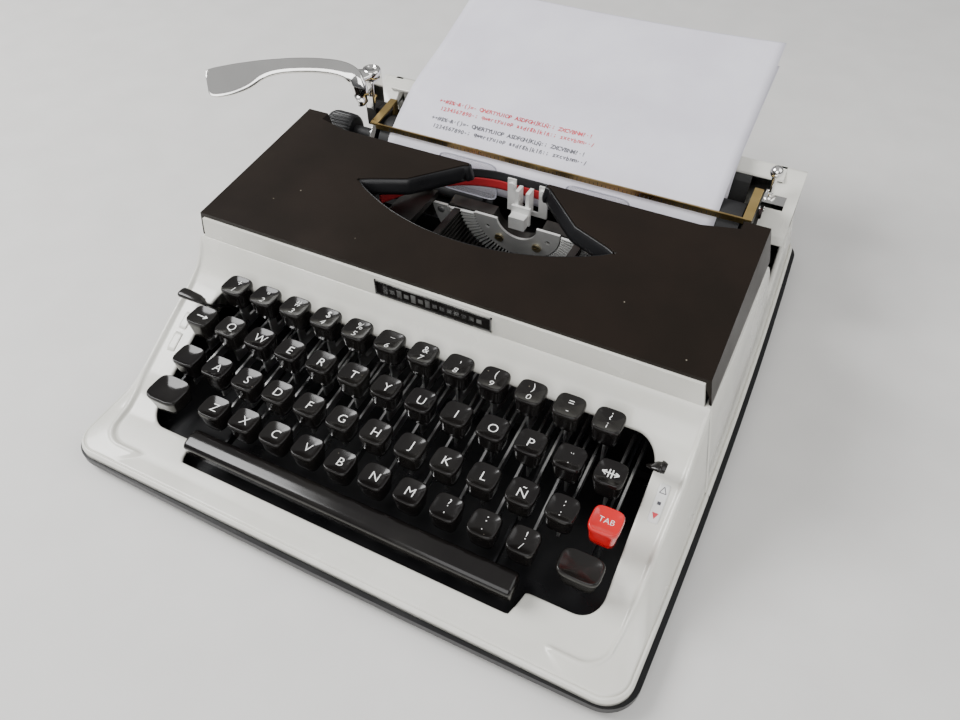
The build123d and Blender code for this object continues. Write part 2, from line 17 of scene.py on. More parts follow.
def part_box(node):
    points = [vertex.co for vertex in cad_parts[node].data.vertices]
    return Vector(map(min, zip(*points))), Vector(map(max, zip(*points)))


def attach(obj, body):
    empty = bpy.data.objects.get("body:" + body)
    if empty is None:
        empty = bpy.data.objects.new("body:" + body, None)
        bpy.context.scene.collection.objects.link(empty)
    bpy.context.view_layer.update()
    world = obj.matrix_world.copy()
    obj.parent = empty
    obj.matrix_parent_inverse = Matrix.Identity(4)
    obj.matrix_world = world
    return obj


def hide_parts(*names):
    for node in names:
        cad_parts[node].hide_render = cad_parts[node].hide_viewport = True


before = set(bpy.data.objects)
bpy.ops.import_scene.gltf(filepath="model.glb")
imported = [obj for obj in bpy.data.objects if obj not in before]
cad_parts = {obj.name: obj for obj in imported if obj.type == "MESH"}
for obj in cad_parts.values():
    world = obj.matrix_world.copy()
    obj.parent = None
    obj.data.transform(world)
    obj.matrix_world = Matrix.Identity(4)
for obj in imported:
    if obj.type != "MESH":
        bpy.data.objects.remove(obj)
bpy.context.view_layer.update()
tray_lo, tray_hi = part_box("base_tray")
X0, Y0 = (tray_lo[0] + tray_hi[0]) / 2, tray_lo[1]
print("tray", round(tray_hi[0] - tray_lo[0], 4), "m wide")


def at(points):
    """Machine millimetres to frame metres: divide by 1000, then add the tray's middle and front edge."""
    return np.asarray(points, float) / 1000 + np.array([X0, Y0, 0])


# %% [markdown]
# ## Materials
# Moulded plastic, paint and metal all carry fine irregularity: a faint grain in the gloss, a little dust in
# flat places, and lighter worn edges. Two shader groups hold these effects, so every finish shares them.

# %% Node helpers
def new_node(tree, kind, **values):
    """Shader node of a kind with inputs set by name (underscore for space); a Mix node mixes colours."""
    node = tree.nodes.new("ShaderNode" + kind)
    if kind == "Mix":
        node.data_type = "RGBA"
    for label, value in values.items():
        node.inputs[label.replace("_", " ")].default_value = value
    return node


def join(tree, *links):
    """Makes links given as (node, output, node, input)."""
    for source, out, target, into in links:
        tree.links.new(source.outputs[out], target.inputs[into])


def new_group(name, inputs, outputs):
    """Empty shader node group with float inputs {name: default} and float outputs."""
    group = bpy.data.node_groups.new(name, "ShaderNodeTree")
    for label, value in inputs.items():
        group.interface.new_socket(label, in_out="INPUT", socket_type="NodeSocketFloat").default_value = value
    for label in outputs:
        group.interface.new_socket(label, in_out="OUTPUT", socket_type="NodeSocketFloat")
    return group, group.nodes.new("NodeGroupInput"), group.nodes.new("NodeGroupOutput")


# %% Grain and dust
def grain_group():
    """Mottle and specks on Object coordinates: Height is fine plus coarse noise, Mask the coarse one, Dust 1
    inside the small discs round a Voronoi pattern's points."""
    group, gin, gout = new_group("surface_grain", {"Fine Scale": 900.0, "Coarse Scale": 30.0},
                                 ("Height", "Mask", "Dust"))
    coord, specks = new_node(group, "TexCoord"), new_node(group, "TexVoronoi", Scale=75)
    near = new_node(group, "MapRange", From_Min=0.035, From_Max=0.015)
    fine, coarse = (new_node(group, "TexNoise", Detail=4) for _ in range(2))
    add = new_node(group, "Math")
    join(group, (coord, "Object", specks, "Vector"), (specks, "Distance", near, "Value"),
         (near, 0, gout, "Dust"), (coord, "Object", fine, "Vector"), (coord, "Object", coarse, "Vector"),
         (gin, "Fine Scale", fine, "Scale"), (gin, "Coarse Scale", coarse, "Scale"), (fine, "Fac", add, 0),
         (coarse, "Fac", add, 1), (add, 0, gout, "Height"), (coarse, "Fac", gout, "Mask"))
    return group


GRAIN = grain_group()
print("grain outputs", [item.name for item in GRAIN.interface.items_tree if item.in_out == "OUTPUT"])


# %% Brushing
def brushed_group():
    """Noise stretched 60 times along X, as a grinding belt leaves it; Mask is a coarse blot."""
    group, gin, gout = new_group("brushed_lines", {"Scale": 1500.0}, ("Height", "Mask"))
    coord, stretch = new_node(group, "TexCoord"), new_node(group, "Mapping", Scale=(0.016, 1, 1))
    noise, blot = new_node(group, "TexNoise"), new_node(group, "TexNoise", Scale=55)
    join(group, (coord, "Object", stretch, "Vector"), (stretch, 0, noise, "Vector"), (gin, 0, noise, "Scale"),
         (coord, "Object", blot, "Vector"), (noise, "Fac", gout, "Height"), (blot, "Fac", gout, "Mask"))
    return group


BRUSHED = brushed_group()
print("brushing outputs", [item.name for item in BRUSHED.interface.items_tree if item.in_out == "OUTPUT"])


# %% [markdown]
# One maker of finishes: a Principled shader whose base colour is mixed between two near tones by the
# group's mask, whose roughness runs between two values by the same mask, and whose normal takes a small
# bump from the group's height. An image could be wrapped on instead, but it would need unwrapping and
# would blur close up; noise on Object coordinates stays sharp and fits every piece at its real scale.

# %% The finish maker
BUMP_DEPTH = 0.0002
COAT_ROUGHNESS = 0.08
DUST_COLOUR = (0.42, 0.38, 0.30, 1)


def finish(name, low, high, rough=(0.3, 0.4), metal=0.0, group=GRAIN, scale=None, bump=0.05, coat=0.0,
           dust=0.0, **extra):
    """Node material: colour and roughness follow the mask, the bump follows the height."""
    mat = bpy.data.materials.new(name)
    mat.use_nodes = True
    tree = mat.node_tree
    shader = tree.nodes["Principled BSDF"]
    fixed = {"Metallic": metal, "Coat Weight": coat, "Coat Roughness": COAT_ROUGHNESS, **extra}
    for label, value in fixed.items():
        shader.inputs[label.replace("_", " ")].default_value = value
    effect = new_node(tree, "Group")
    effect.node_tree = group
    if scale:
        effect.inputs[0].default_value = scale
    tone = new_node(tree, "Mix", A=(*low, 1), B=(*high, 1))
    spread = new_node(tree, "MapRange", From_Min=0.35, From_Max=0.65)
    polish = new_node(tree, "MapRange", From_Min=0.3, From_Max=0.7, To_Min=rough[0], To_Max=rough[1])
    relief = new_node(tree, "Bump", Strength=bump, Distance=BUMP_DEPTH)
    join(tree, (effect, "Mask", spread, "Value"), (spread, 0, tone, "Factor"))
    if dust:
        amount, settled = new_node(tree, "Math"), new_node(tree, "Mix", B=DUST_COLOUR)
        amount.operation, amount.inputs[1].default_value = "MULTIPLY", dust
        join(tree, (effect, "Dust", amount, 0), (amount, 0, settled, "Factor"),
             (tone, "Result", settled, "A"))
        tone = settled
    join(tree, (tone, "Result", shader, "Base Color"), (effect, "Mask", polish, "Value"),
         (polish, 0, shader, "Roughness"), (effect, "Height", relief, "Height"),
         (relief, 0, shader, "Normal"))
    return mat


# %% Plastics, enamel and rubber
CREAM = finish("cream_moulding", (0.73, 0.72, 0.655), (0.78, 0.77, 0.71), (0.2, 0.3), bump=0.04, coat=0.35,
               dust=0.2)
WHITE_STRIP = finish("white_strip", (0.72, 0.72, 0.70), (0.78, 0.78, 0.76), (0.35, 0.5), bump=0.06)
KEY_BLACK = finish("key_moulding", (0.006, 0.005, 0.005), (0.010, 0.009, 0.008), (0.14, 0.24), bump=0.03,
                   coat=0.06, dust=0.25, Specular_IOR_Level=0.36)
BLACK = finish("black_moulding", (0.007, 0.007, 0.008), (0.012, 0.012, 0.013), (0.25, 0.38), bump=0.06,
               Specular_IOR_Level=0.35)
DEEP_BLACK = finish("inner_black", (0.008, 0.008, 0.008), (0.014, 0.014, 0.014), (0.5, 0.7))
COVER_BROWN = finish("cover_enamel", (0.0100, 0.0066, 0.0044), (0.0125, 0.0079, 0.0051), (0.32, 0.42),
                     bump=0.12, dust=0.55, Specular_IOR_Level=0.2)
RED = finish("tab_red", (0.55, 0.006, 0.008), (0.64, 0.01, 0.012), (0.15, 0.25), bump=0.03, coat=0.5)
LEGEND = finish("legend_white", (0.85, 0.85, 0.83), (0.92, 0.92, 0.9), (0.4, 0.5))
RUBBER = finish("platen_rubber", (0.009, 0.009, 0.010), (0.015, 0.015, 0.016), (0.55, 0.7), bump=0.15)
CLEAR = finish("clear_card", (0.70, 0.69, 0.76), (0.78, 0.77, 0.84), (0.1, 0.18), bump=0.02, Alpha=0.25)
CLEAR_EDGE = finish("clear_card_edge", (0.42, 0.42, 0.50), (0.55, 0.55, 0.62), (0.1, 0.2), bump=0.02,
                    Alpha=0.7)

# %% Metals
STEEL = finish("ground_steel", (0.50, 0.50, 0.50), (0.62, 0.62, 0.61), (0.22, 0.38), 1.0, BRUSHED, bump=0.1)
# Dark steel; on the type bars and type segment this dark colour is painted shade inside the basket.
DARK_STEEL_AND_SHADE = finish("dark_steel_and_painted_shade", (0.05, 0.048, 0.045), (0.09, 0.085, 0.08), (0.3, 0.5), 0.85, BRUSHED,
                    bump=0.1)
NICKEL = finish("matt_nickel", (0.74, 0.74, 0.72), (0.84, 0.84, 0.82), (0.35, 0.5), 0.3, BRUSHED, bump=0.1)
CHROME = finish("chrome_plate", (0.78, 0.77, 0.75), (0.86, 0.85, 0.83), (0.05, 0.12), 1.0, bump=0.015)
BRASS = finish("bail_lacquer", (0.52, 0.36, 0.14), (0.66, 0.48, 0.20), (0.25, 0.38), 1.0, BRUSHED, bump=0.08)
BRASS_SCREW = finish("screw_brass", (0.55, 0.48, 0.30), (0.70, 0.62, 0.42), (0.2, 0.35), 1.0, BRUSHED,
                     bump=0.1)
CASTING = finish("grey_casting", (0.28, 0.28, 0.28), (0.38, 0.38, 0.37), (0.35, 0.55), 0.7, bump=0.2)

# %% Ribbon, paper and ink
RIBBON_BLACK = finish("ribbon_black", (0.01, 0.01, 0.011), (0.02, 0.02, 0.022), (0.6, 0.75), scale=2500,
                      bump=0.4)
RIBBON_RED = finish("ribbon_red", (0.34, 0.008, 0.014), (0.46, 0.015, 0.022), (0.6, 0.75), scale=2500,
                    bump=0.4)
PAPER = finish("writing_paper", (0.70, 0.68, 0.76), (0.76, 0.75, 0.82), (0.7, 0.85), scale=1500, bump=0.1)
INK_BLACK = finish("typed_black", (0.05, 0.05, 0.06), (0.14, 0.14, 0.16), (0.8, 0.9), scale=3000)
INK_RED = finish("typed_red", (0.55, 0.03, 0.05), (0.7, 0.12, 0.14), (0.8, 0.9), scale=3000)
print(len(bpy.data.materials), "materials")


# %% [markdown]
# ## Surfaces from arrays
# A piece is a grid of points. Neighbouring points make the quads, and a grid may wrap round in either
# direction. All pieces end at the origin, unturned, because their place is in their points.

# %% Objects from points
def new_object(name, points, faces, mat):
    """Mesh object in the scene from frame-metre points and faces, with its material."""
    mesh = bpy.data.meshes.new(name)
    mesh.from_pydata(points.tolist(), [], faces)
    mesh.materials.append(mat)
    obj = bpy.data.objects.new(name, mesh)
    bpy.context.scene.collection.objects.link(obj)
    return obj


def settle(obj, body, node=None):
    """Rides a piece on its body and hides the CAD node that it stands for."""
    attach(obj, body)
    if node:
        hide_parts(node)


# %% Piece from grids
MERGE = 2e-5


def make_piece(name, grids, body, mat, node=None, smooth=True, thickness=0.0, merge=True):
    """Object from grids of machine-mm points: each is (array of rows x columns x 3, wrap_rows, wrap_cols)."""
    verts, faces, start = [], [], 0
    for points, wrap_rows, wrap_cols in grids:
        rows, cols = points.shape[:2]
        index = start + np.arange(rows * cols).reshape(rows, cols)
        if wrap_rows:
            index = np.vstack([index, index[:1]])
        if wrap_cols:
            index = np.hstack([index, index[:, :1]])
        quad = np.stack([index[:-1, :-1], index[:-1, 1:], index[1:, 1:], index[1:, :-1]], -1)
        verts.append(at(points.reshape(-1, 3)))
        faces.append(quad.reshape(-1, 4))
        start += rows * cols
    obj = new_object(name, np.vstack(verts), np.vstack(faces).tolist(), mat)
    mesh = obj.data
    if merge:
        work = bmesh.new()
        work.from_mesh(mesh)
        bmesh.ops.remove_doubles(work, verts=work.verts, dist=MERGE)
        bmesh.ops.recalc_face_normals(work, faces=work.faces)
        work.to_mesh(mesh)
        work.free()
    mesh.polygons.foreach_set("use_smooth", np.full(len(mesh.polygons), smooth))
    if thickness:
        wall = obj.modifiers.new("wall", "SOLIDIFY")
        wall.thickness, wall.offset, wall.use_even_offset = thickness / 1000, -1, False
    settle(obj, body, node)
    return obj


# %% Rings round a line, and softened edges
def tube_grid(centres, radii, normals_a, normals_b, sides=24):
    """Rings round a line of centres: centre + r cos(t) a + r sin(t) b."""
    t = np.linspace(0, 2 * np.pi, sides, endpoint=False)
    ring = np.cos(t)[None, :, None] * normals_a[:, None, :] + np.sin(t)[None, :, None] * normals_b[:, None, :]
    return centres[:, None, :] + ring * radii[:, None, None]


def soften(obj, width, segments=3, wall=0.0):
    """Rounds hard edges by a bevel of this width in mm, then gives the sheet its wall."""
    edge = obj.modifiers.new("rounded edges", "BEVEL")
    edge.width, edge.segments, edge.limit_method = width / 1000, segments, "ANGLE"
    edge.angle_limit, edge.harden_normals = math.radians(35), True
    if wall:
        solid = obj.modifiers.new("wall", "SOLIDIFY")
        solid.thickness, solid.offset = wall / 1000, -1


# %% [markdown]
# ## Case shell
# The case is one cream moulding: a thin rim over the black band, sides that lean in to a rounded bead,
# a deck that sweeps up to the ribbon cover, and cheeks that run back beside it. It could be sculpted, but
# its lines are curves in plan with one height law, so loops lofted in plan give clean highlights.

# %% Height law of the deck
DECK_Y = [-4, 0, 12, 34, 43, 52.6, 78, 100, 109, 114, 117.5, 119, 122]
DECK_Z = [13.6, 13.6, 13.9, 15.7, 19.5, 26, 39, 49.5, 56, 63, 70.5, 73, 75]
fine_y = np.linspace(-4, 122, 505)
blur = np.hanning(27) / np.hanning(27).sum()
fine_z = np.interp(fine_y, DECK_Y, DECK_Z)
fine_z[13:-13] = np.convolve(fine_z, blur, "valid")
print("deck rises from", fine_z[0], "to", fine_z[-1], "mm")


def deck_z(y):
    """Deck height: a broken line through the measured stations, blurred by a 7 mm window."""
    return np.interp(y, fine_y, fine_z)


# %% Plan of the case
MID_HALF, CORNER_HALF, DEPTH, CORNER_RADIUS = 157.0, 153.6, 345.0, 16.4
BACK = 118.5  # where the deck meets the ribbon cover


def case_half(y, inset=0.0):
    """Half width of the case: a shallow parabola, widest at mid depth."""
    u = (np.asarray(y, float) - DEPTH / 2) / (DEPTH / 2)
    return MID_HALF - (MID_HALF - CORNER_HALF) * u * u - inset


def ridge_half(y, inset=0.0):
    """Half width of the bead: 144 mm, closing in by 5 mm towards the front."""
    y = np.asarray(y, float)
    return 143.6 - 5 * np.exp(-(y - 20) / 25) - 0.9 * np.clip((y - 95) / 23, 0, 1) - inset


# %% Closed plan loops
N_CORNER, N_SIDE, N_FRONT, N_BACK = 12, 46, 150, 70
# A loop's sides and front, without its rear corners and back line.
OPEN_FRONT = slice(N_CORNER - 1, -(N_BACK - 2) - (N_CORNER - 1))


def plan_loop(half, front, back, r_front, r_back, centre=0.0, front_line=None):
    """Closed plan loop from the rear right corner: side, front corner, front, other side, back line."""
    arc = np.linspace(0, np.pi / 2, N_CORNER)
    hb, hf = half(back - r_back), half(front + r_front)
    rear = np.stack([hb - r_back + r_back * np.sin(arc), back - r_back + r_back * np.cos(arc)], -1)
    ys = np.linspace(back - r_back, front + r_front, N_SIDE)[1:-1]
    side = np.stack([half(ys), ys], -1)
    corner = np.stack([hf - r_front + r_front * np.cos(arc), front + r_front - r_front * np.sin(arc)], -1)
    xs = np.linspace(hf - r_front, -(hf - r_front), N_FRONT)[1:-1]
    line = np.stack([xs, np.full_like(xs, front) if front_line is None else front_line(xs + centre)], -1)
    right = np.vstack([rear, side, corner])
    left = right[::-1] * [-1, 1]
    bx = np.linspace(-(hb - r_back), hb - r_back, N_BACK)[1:-1]
    loop = np.vstack([right, line, left, np.stack([bx, np.full_like(bx, back)], -1)])
    return loop + [centre, 0]


def well_front(x):
    """Front edge of the keyboard well: y 32, stepping forward to y 19.5 where the space bar sits."""
    return 19.5 + 12.5 / (1 + np.exp(-(np.abs(x - 1) - 93) * 2.2))


# %% Rim and sides of the front
RIM = ((2.6, 9.0), (2.6, 12.0), (2.9, 13.0), (3.6, 13.75), (4.4, 14.0), (4.6, 13.4), (4.8, 13.4), (4.9, 14.0))
RIM_TOP, RIM_INSET = 14.0, 4.8


def front_skirt():
    """Rim and sides of the front: open path round the front, rows from the band up to the bead."""
    def outline(inset):
        return plan_loop(lambda y: case_half(y, inset), inset, BACK, max(CORNER_RADIUS - inset, 1.5),
                         0.02)[OPEN_FRONT]
    rim, ridge = outline(RIM_INSET), plan_loop(ridge_half, 12, BACK, 12, 0.02)[OPEN_FRONT]
    rows = [np.column_stack([outline(i), np.full(len(rim), z)]) for i, z in RIM]
    top = deck_z(ridge[:, 1]) + 1.2 * bead_fade(ridge)
    calm = np.clip((BACK - ridge[:, 1]) / 40, 0, 1)
    for t in np.linspace(0, 1, 9)[1:]:
        xy = rim + (ridge - rim) * t
        swell = 0.9 * np.sin(np.pi * t) * np.clip((top - RIM_TOP) / 20, 0, 1) * calm
        rows.append(np.column_stack([xy, RIM_TOP + (top - RIM_TOP) * t + swell]))
    return np.array(rows)


def bead_fade(xy):
    """1 where the bead stands, 0 across the middle of the front and along the cover."""
    front = np.clip((np.abs(xy[:, 0]) - 114) / 1.5, 0, 1)
    back = np.clip((BACK - 0.2 - xy[:, 1]) / 2, 0, 1)
    return front * back


# %% Deck round the keyboard
# Each pair is (in from the edge, up) in mm.
BEAD = ((0, 1.2), (0.5, 1.6), (1.1, 1.8), (1.8, 1.6), (2.4, 1.1), (3.0, 0.4), (3.6, 0.0))


def deck_annulus():
    """Deck from the bead to the keyboard well: straight in plan from loop to loop, height by the deck law."""
    ridge = plan_loop(ridge_half, 12, BACK, 12, 0.02)
    well = plan_loop(lambda y: 126 + 0 * np.asarray(y, float), 32, 107.5, 11, 13, 2.0, well_front)
    away = well - ridge
    length = np.linalg.norm(away, axis=1)[:, None]
    unit = away / length
    fade = bead_fade(ridge)
    rows = []
    for s, h in BEAD:
        xy = ridge + unit * np.minimum(s, length * 0.3)
        rows.append(np.column_stack([xy, deck_z(xy[:, 1]) + h * fade]))
    near, edge = xy, well - unit
    for t in np.linspace(0, 1, 16)[1:]:
        xy = near + (edge - near) * t
        rows.append(np.column_stack([xy, deck_z(xy[:, 1])]))
    for s, drop in ((0.6, 0.1), (0.15, 0.5), (0.0, 1.2)):
        xy = well - unit * s
        rows.append(np.column_stack([xy, deck_z(xy[:, 1]) - drop]))
    return np.array(rows)


# %% Cheeks and rear rim
CHEEK_Y = [118.5, 124, 222, 230, 236, 239.5, 241.5, 245, 262, 280, 345]
CHEEK_Z = [72.2, 71, 69.6, 68.2, 65, 60, 46, 38.6, 38, 38, 38]


def rear_wall():
    """Cheeks and rear rim: the outline from one side round the back, rows from the band over the top edge."""
    def outline(inset):
        ys = np.concatenate([np.linspace(BACK, 222, 30), np.linspace(224, 262, 40),
                             np.linspace(264, 328, 16)])
        arc = np.linspace(0, np.pi / 2, 12)
        r = CORNER_RADIUS - inset if inset < 12 else 4
        back = DEPTH - inset
        hx = case_half(back - r, inset)
        side = np.stack([case_half(ys, inset), np.minimum(ys, back - r)], -1)
        corner = np.stack([hx - r + r * np.cos(arc), back - r + r * np.sin(arc)], -1)
        xs = np.linspace(hx - r, 0, 30)
        half = np.vstack([side, corner, np.stack([xs, np.full_like(xs, back)], -1)])
        return np.vstack([half, half[::-1][1:] * [-1, 1]])
    base = outline(0)
    top = np.interp(base[:, 1], CHEEK_Y, CHEEK_Z)
    lean = RIM_INSET + (top - RIM_TOP) * np.interp(base[:, 1], [BACK, BACK + 40], [0.1576, 0.142])
    rows = [np.column_stack([outline(i), np.full(len(base), z)]) for i, z in RIM]
    inner, outer = outline(RIM_INSET + 10), outline(RIM_INSET)
    unit = (inner - outer) / 10.0
    for t in (0.25, 0.5, 0.75, 1.0):
        rows.append(np.column_stack([outer + unit * ((lean - RIM_INSET) * t)[:, None],
                                     RIM_TOP + (top - 1.6 - RIM_TOP) * t]))
    for across, drop in ((0.3, 0.8), (0.9, 0.2), (1.7, 0.0), (2.6, 0.2), (3.2, 0.9)):
        rows.append(np.column_stack([outer + unit * (lean - RIM_INSET + across)[:, None], top - drop]))
    return np.array(rows)


# %% The shell
shell = make_piece("moulded_case", [(front_skirt(), False, False), (deck_annulus(), False, True),
                                    (rear_wall(), False, False)],
                   "chassis", CREAM, "case_shell", thickness=2.2)
print("case faces", len(shell.data.polygons))


# %% [markdown]
# ## Ribbon cover
# A dark enamelled pressing that lifts off over the ribbon and type. Its top is one sloping sheet with an
# eye-shaped opening cut in from the back. A boolean cut would leave rough edges in the gloss, so the sheet
# is three grids that share their edge points: one in front of the eye and one on each side behind it.

# %% Plan of the cover and its opening
COVER_HALF = 139.5
EYE_TIP, EYE_LOW, EYE_END = 75.0, 155.0, 177.0  # tip x, lowest y, y of the tips
EYE_BACK = [(24, 210), (26, 209.6), (50, 187), (75, 177)]


def cover_z(y):
    """Height of the cover's top: a straight slope from (120, 86.8) to (224, 96.6)."""
    return 86.8 + (np.asarray(y, float) - 120) * 9.8 / 104


def tip_round(x):
    """Quarter ellipse that closes the eye over the last 6 mm of each tip."""
    return np.sqrt(np.clip(1 - (np.clip(np.abs(x) - EYE_TIP + 6, 0, 6) / 6) ** 2, 0, 1))


def eye_front(x):
    """Front edge of the eye: a circular arc through its tips and lowest point, straight outside them."""
    rise = EYE_END - EYE_LOW
    r = (EYE_TIP**2 + rise**2) / (2 * rise)
    inside = EYE_LOW + r - np.sqrt(np.maximum(r * r - np.minimum(np.abs(x), EYE_TIP) ** 2, 0))
    arc = np.where(np.abs(x) < EYE_TIP, inside, EYE_END)
    return EYE_END + 0.4 - (EYE_END + 0.8 - arc) * tip_round(x)


def eye_rear(x):
    """Rear edge of the eye on one side: two straight runs from the tip to the middle gap."""
    px, py = np.array(EYE_BACK).T
    return EYE_END + 0.4 + (np.interp(np.abs(x), px, py) - EYE_END + 1.2) * tip_round(x)


def cover_rear(x):
    """Rear edge of the sheet: y 213.5, running back to 218 and to the ears at 224."""
    return np.interp(np.abs(x), [107, 125.9, 126.0, 140], [213.5, 218, 224, 224])


# %% Grids of the cover's top
def stations(lo, hi, keep, count):
    """Even x stations between two ends, with the corner stations kept exactly."""
    x = np.concatenate([np.linspace(lo, hi, count), keep])
    x = np.unique(np.round(x[(x >= lo) & (x <= hi)], 4))
    gap = np.minimum(np.diff(x)[:-1], np.diff(x)[1:])
    return np.delete(x, 1 + np.flatnonzero((gap < 0.4) & ~np.isin(x[1:-1], keep)))


def between(x, y_low, y_high, count):
    """Grid of rows from one edge to the other, raised to the cover's slope."""
    t = np.linspace(0, 1, count)[:, None]
    y = y_low[None] + (y_high - y_low)[None] * t
    return np.stack([np.broadcast_to(x, y.shape), y, cover_z(y)], -1)


CORNERS = [-126, -125.9, -107, -75, -74.9, -74.6, -74, -73, -71.5, -69, -50, -26]
left_x = stations(-COVER_HALF, -24, CORNERS, 48)
right_x = -left_x[::-1]
mid_x = np.linspace(-24, 24, 21)[1:-1]
all_x = np.concatenate([left_x, mid_x, right_x])
front_grid = between(all_x, np.full(len(all_x), 120.2), eye_front(all_x), 22)
left_grid = between(left_x, eye_rear(left_x), cover_rear(left_x), 14)
right_grid = between(right_x, eye_rear(right_x), cover_rear(right_x), 14)
print("cover columns", len(all_x))


# %% Rims and skirts of the cover
def rim_down(path, steps, reach):
    """Wall hung from an edge path: rows step down by steps and out by reach along the path's plan normal."""
    tangent = np.gradient(path[:, :2], axis=0)
    normal = np.stack([-tangent[:, 1], tangent[:, 0]], -1)
    normal /= np.linalg.norm(normal, axis=1)[:, None] + 1e-9
    return np.array([np.column_stack([path[:, :2] + normal * r, path[:, 2] - d])
                     for d, r in zip(steps, reach)])


in_left, in_right = left_x > -75.01, right_x < 75.01
eye_x = np.abs(all_x) < 75.01
eye_path = np.vstack([left_grid[::-1, -1], left_grid[0, in_left][::-1][1:], front_grid[-1, eye_x][1:],
                      right_grid[0, in_right][::-1][1:], right_grid[1:, 0]])
edge_path = np.vstack([left_grid[-1][::-1], left_grid[::-1, 0][1:], front_grid[::-1, 0][1:],
                       front_grid[0][1:], front_grid[:, -1][1:], right_grid[:, -1][1:],
                       right_grid[-1][::-1][1:]])
SKIRT_FOOT = 71.8


def skirt(path):
    """Outer skirt: 3 mm lip in front, sides leaning out to the foot, ears behind, a thin edge elsewhere."""
    x, y, z = path.T
    side = np.abs(x) > COVER_HALF - 0.01
    ear = (np.abs(x) > 125.95) & (y > 220)
    low = np.where(side | ear, SKIRT_FOOT, np.where(y < 121, z - 3.4, z - 2.2))
    out_ear = np.where(ear, (np.abs(x) - 126) / 13.5 * 3.9, 0)
    out_x = np.sign(x) * np.where(side, 2.9 + (y - 120) / 104, out_ear)
    out_y = np.where(ear, 7.6, 0)
    return np.array([np.column_stack([x + out_x * t, y + out_y * t, z + (low - z) * t])
                     for t in np.linspace(0, 1, 9)])


# %% The cover and the black wall of its opening
sheets = [front_grid, left_grid, right_grid, rim_down(eye_path, (0, 0.6, 1.0), (0, 0.1, 0.4)),
          skirt(edge_path)]
cover = make_piece("enamel_cover", [(grid, False, False) for grid in sheets], "ribbon_cover", COVER_BROWN,
                   "ribbon_cover")


soften(cover, 0.7, wall=1.2)
wall_grid = rim_down(eye_path, (0.8, 1.2, 3.5, 6.5, 9), (0.1, 0.5, 1.0, 1.9, 2.2))
make_piece("eye_wall", [(wall_grid, False, False)], "ribbon_cover", BLACK,
           thickness=0.8)
print("cover faces", len(cover.data.polygons))

# %% [markdown]
# The name plate under the cover is a black strip in a bright frame. Its marks are a plain row of raised
# bars, since the real plate's lettering belongs to its maker.

# %% Name plate
def box_grid(x0, x1, y0, y1, z0, z1):
    """Closed box as a wrapped ring of four corners between two pinched ends."""
    ring = np.array([(y0, z0), (y1, z0), (y1, z1), (y0, z1)], float)
    mid = ring.mean(0)
    rows = [np.column_stack([np.full(4, x), mid + (ring - mid) * k]) for x, k in
            ((x0, 0), (x0, 1), (x1, 1), (x1, 0))]
    return np.array(rows), False, True


strip_lo, strip_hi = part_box("name_plate")
px0, px1 = (strip_lo[0] - X0) * 1000, (strip_hi[0] - X0) * 1000
py0, py1 = (strip_lo[1] - Y0) * 1000, (strip_hi[1] - Y0) * 1000
pz0, pz1 = strip_lo[2] * 1000, strip_hi[2] * 1000
make_piece("badge_plate", [box_grid(px0 + 0.7, px1 - 0.7, py0 + 0.25, py1, pz0 + 0.7, pz1 - 0.7)],
           "ribbon_cover", KEY_BLACK, "name_plate", smooth=False)
frame_bars = [box_grid(px0, px1, py0, py1, pz0, pz0 + 0.8), box_grid(px0, px1, py0, py1, pz1 - 0.8, pz1),
              box_grid(px0, px0 + 0.8, py0, py1, pz0, pz1), box_grid(px1 - 0.8, px1, py0, py1, pz0, pz1)]
bars = [box_grid(px0 + 5 + 4 * k, px0 + 7.6 + 4 * k, py0 + 0.05, py1, 78 - h, 78 + h)
        for k, h in enumerate([2.4, 1.2] * 4 + [1.2] * 6)]
make_piece("badge_trim", frame_bars + bars, "ribbon_cover", STEEL, smooth=False)
print("bars on the name plate", len(bars))


# %% [markdown]
# ## Keys
# Each cap is a black moulding: a rounded square that widens up to a shoulder, rolls over and dips into a
# shallow dish for the finger. One formula gives them all: rings of a superellipse, scaled and raised.

# %% Key cap surface
def squircle(width, depth, count=44, power=4.0):
    """Superellipse ring: (a sgn(cos)|cos|^(2/n), b sgn(sin)|sin|^(2/n))."""
    t = np.linspace(0, 2 * np.pi, count, endpoint=False) + 0.01
    c, s = np.cos(t), np.sin(t)
    return np.stack([width / 2 * np.sign(c) * np.abs(c) ** (2 / power),
                     depth / 2 * np.sign(s) * np.abs(s) ** (2 / power)], -1)


# Each pair is (share of the outline, share of the height below the rim), then of the dish's depth.
CAP_ROWS = [(0.0, -1.0), (0.78, -1.0), (0.83, -0.985), (0.87, -0.75), (0.92, -0.5), (0.965, -0.3),
            (0.99, -0.22), (1.0, -0.17), (1.0, -0.13), (0.99, -0.08), (0.97, -0.035), (0.95, -0.01),
            (0.925, 0.0)]
DISH = [(0.9, -0.015), (0.85, -0.12), (0.76, -0.34), (0.62, -0.62), (0.45, -0.88), (0.25, -1.05), (0.1, -1.1),
        (0, -1.1)]
CAP_WIDTH, CAP_DEPTH, DISH_DEPTH = 14.2, 13.8, 1.25


def cap_grid(x, y, top, width=CAP_WIDTH, depth=CAP_DEPTH, height=11.5, dish=DISH_DEPTH):
    """Rings from the stem up over the shoulder and down into the dish; top is the rim's height."""
    ring = squircle(width, depth)
    rows = [np.column_stack([ring * s, np.full(len(ring), top + k * height)]) for s, k in CAP_ROWS]
    rows += [np.column_stack([ring * s, np.full(len(ring), top + k * dish)]) for s, k in DISH]
    return np.array(rows) + [x, y, 0], False, True


def dish_depth(u, v):
    """Depth of the dish below the rim at (u, v), each 1 at the cap's edge."""
    s = (np.abs(u) ** 4 + np.abs(v) ** 4) ** 0.25
    return np.interp(s, [k for k, _ in DISH][::-1], [z for _, z in DISH][::-1])


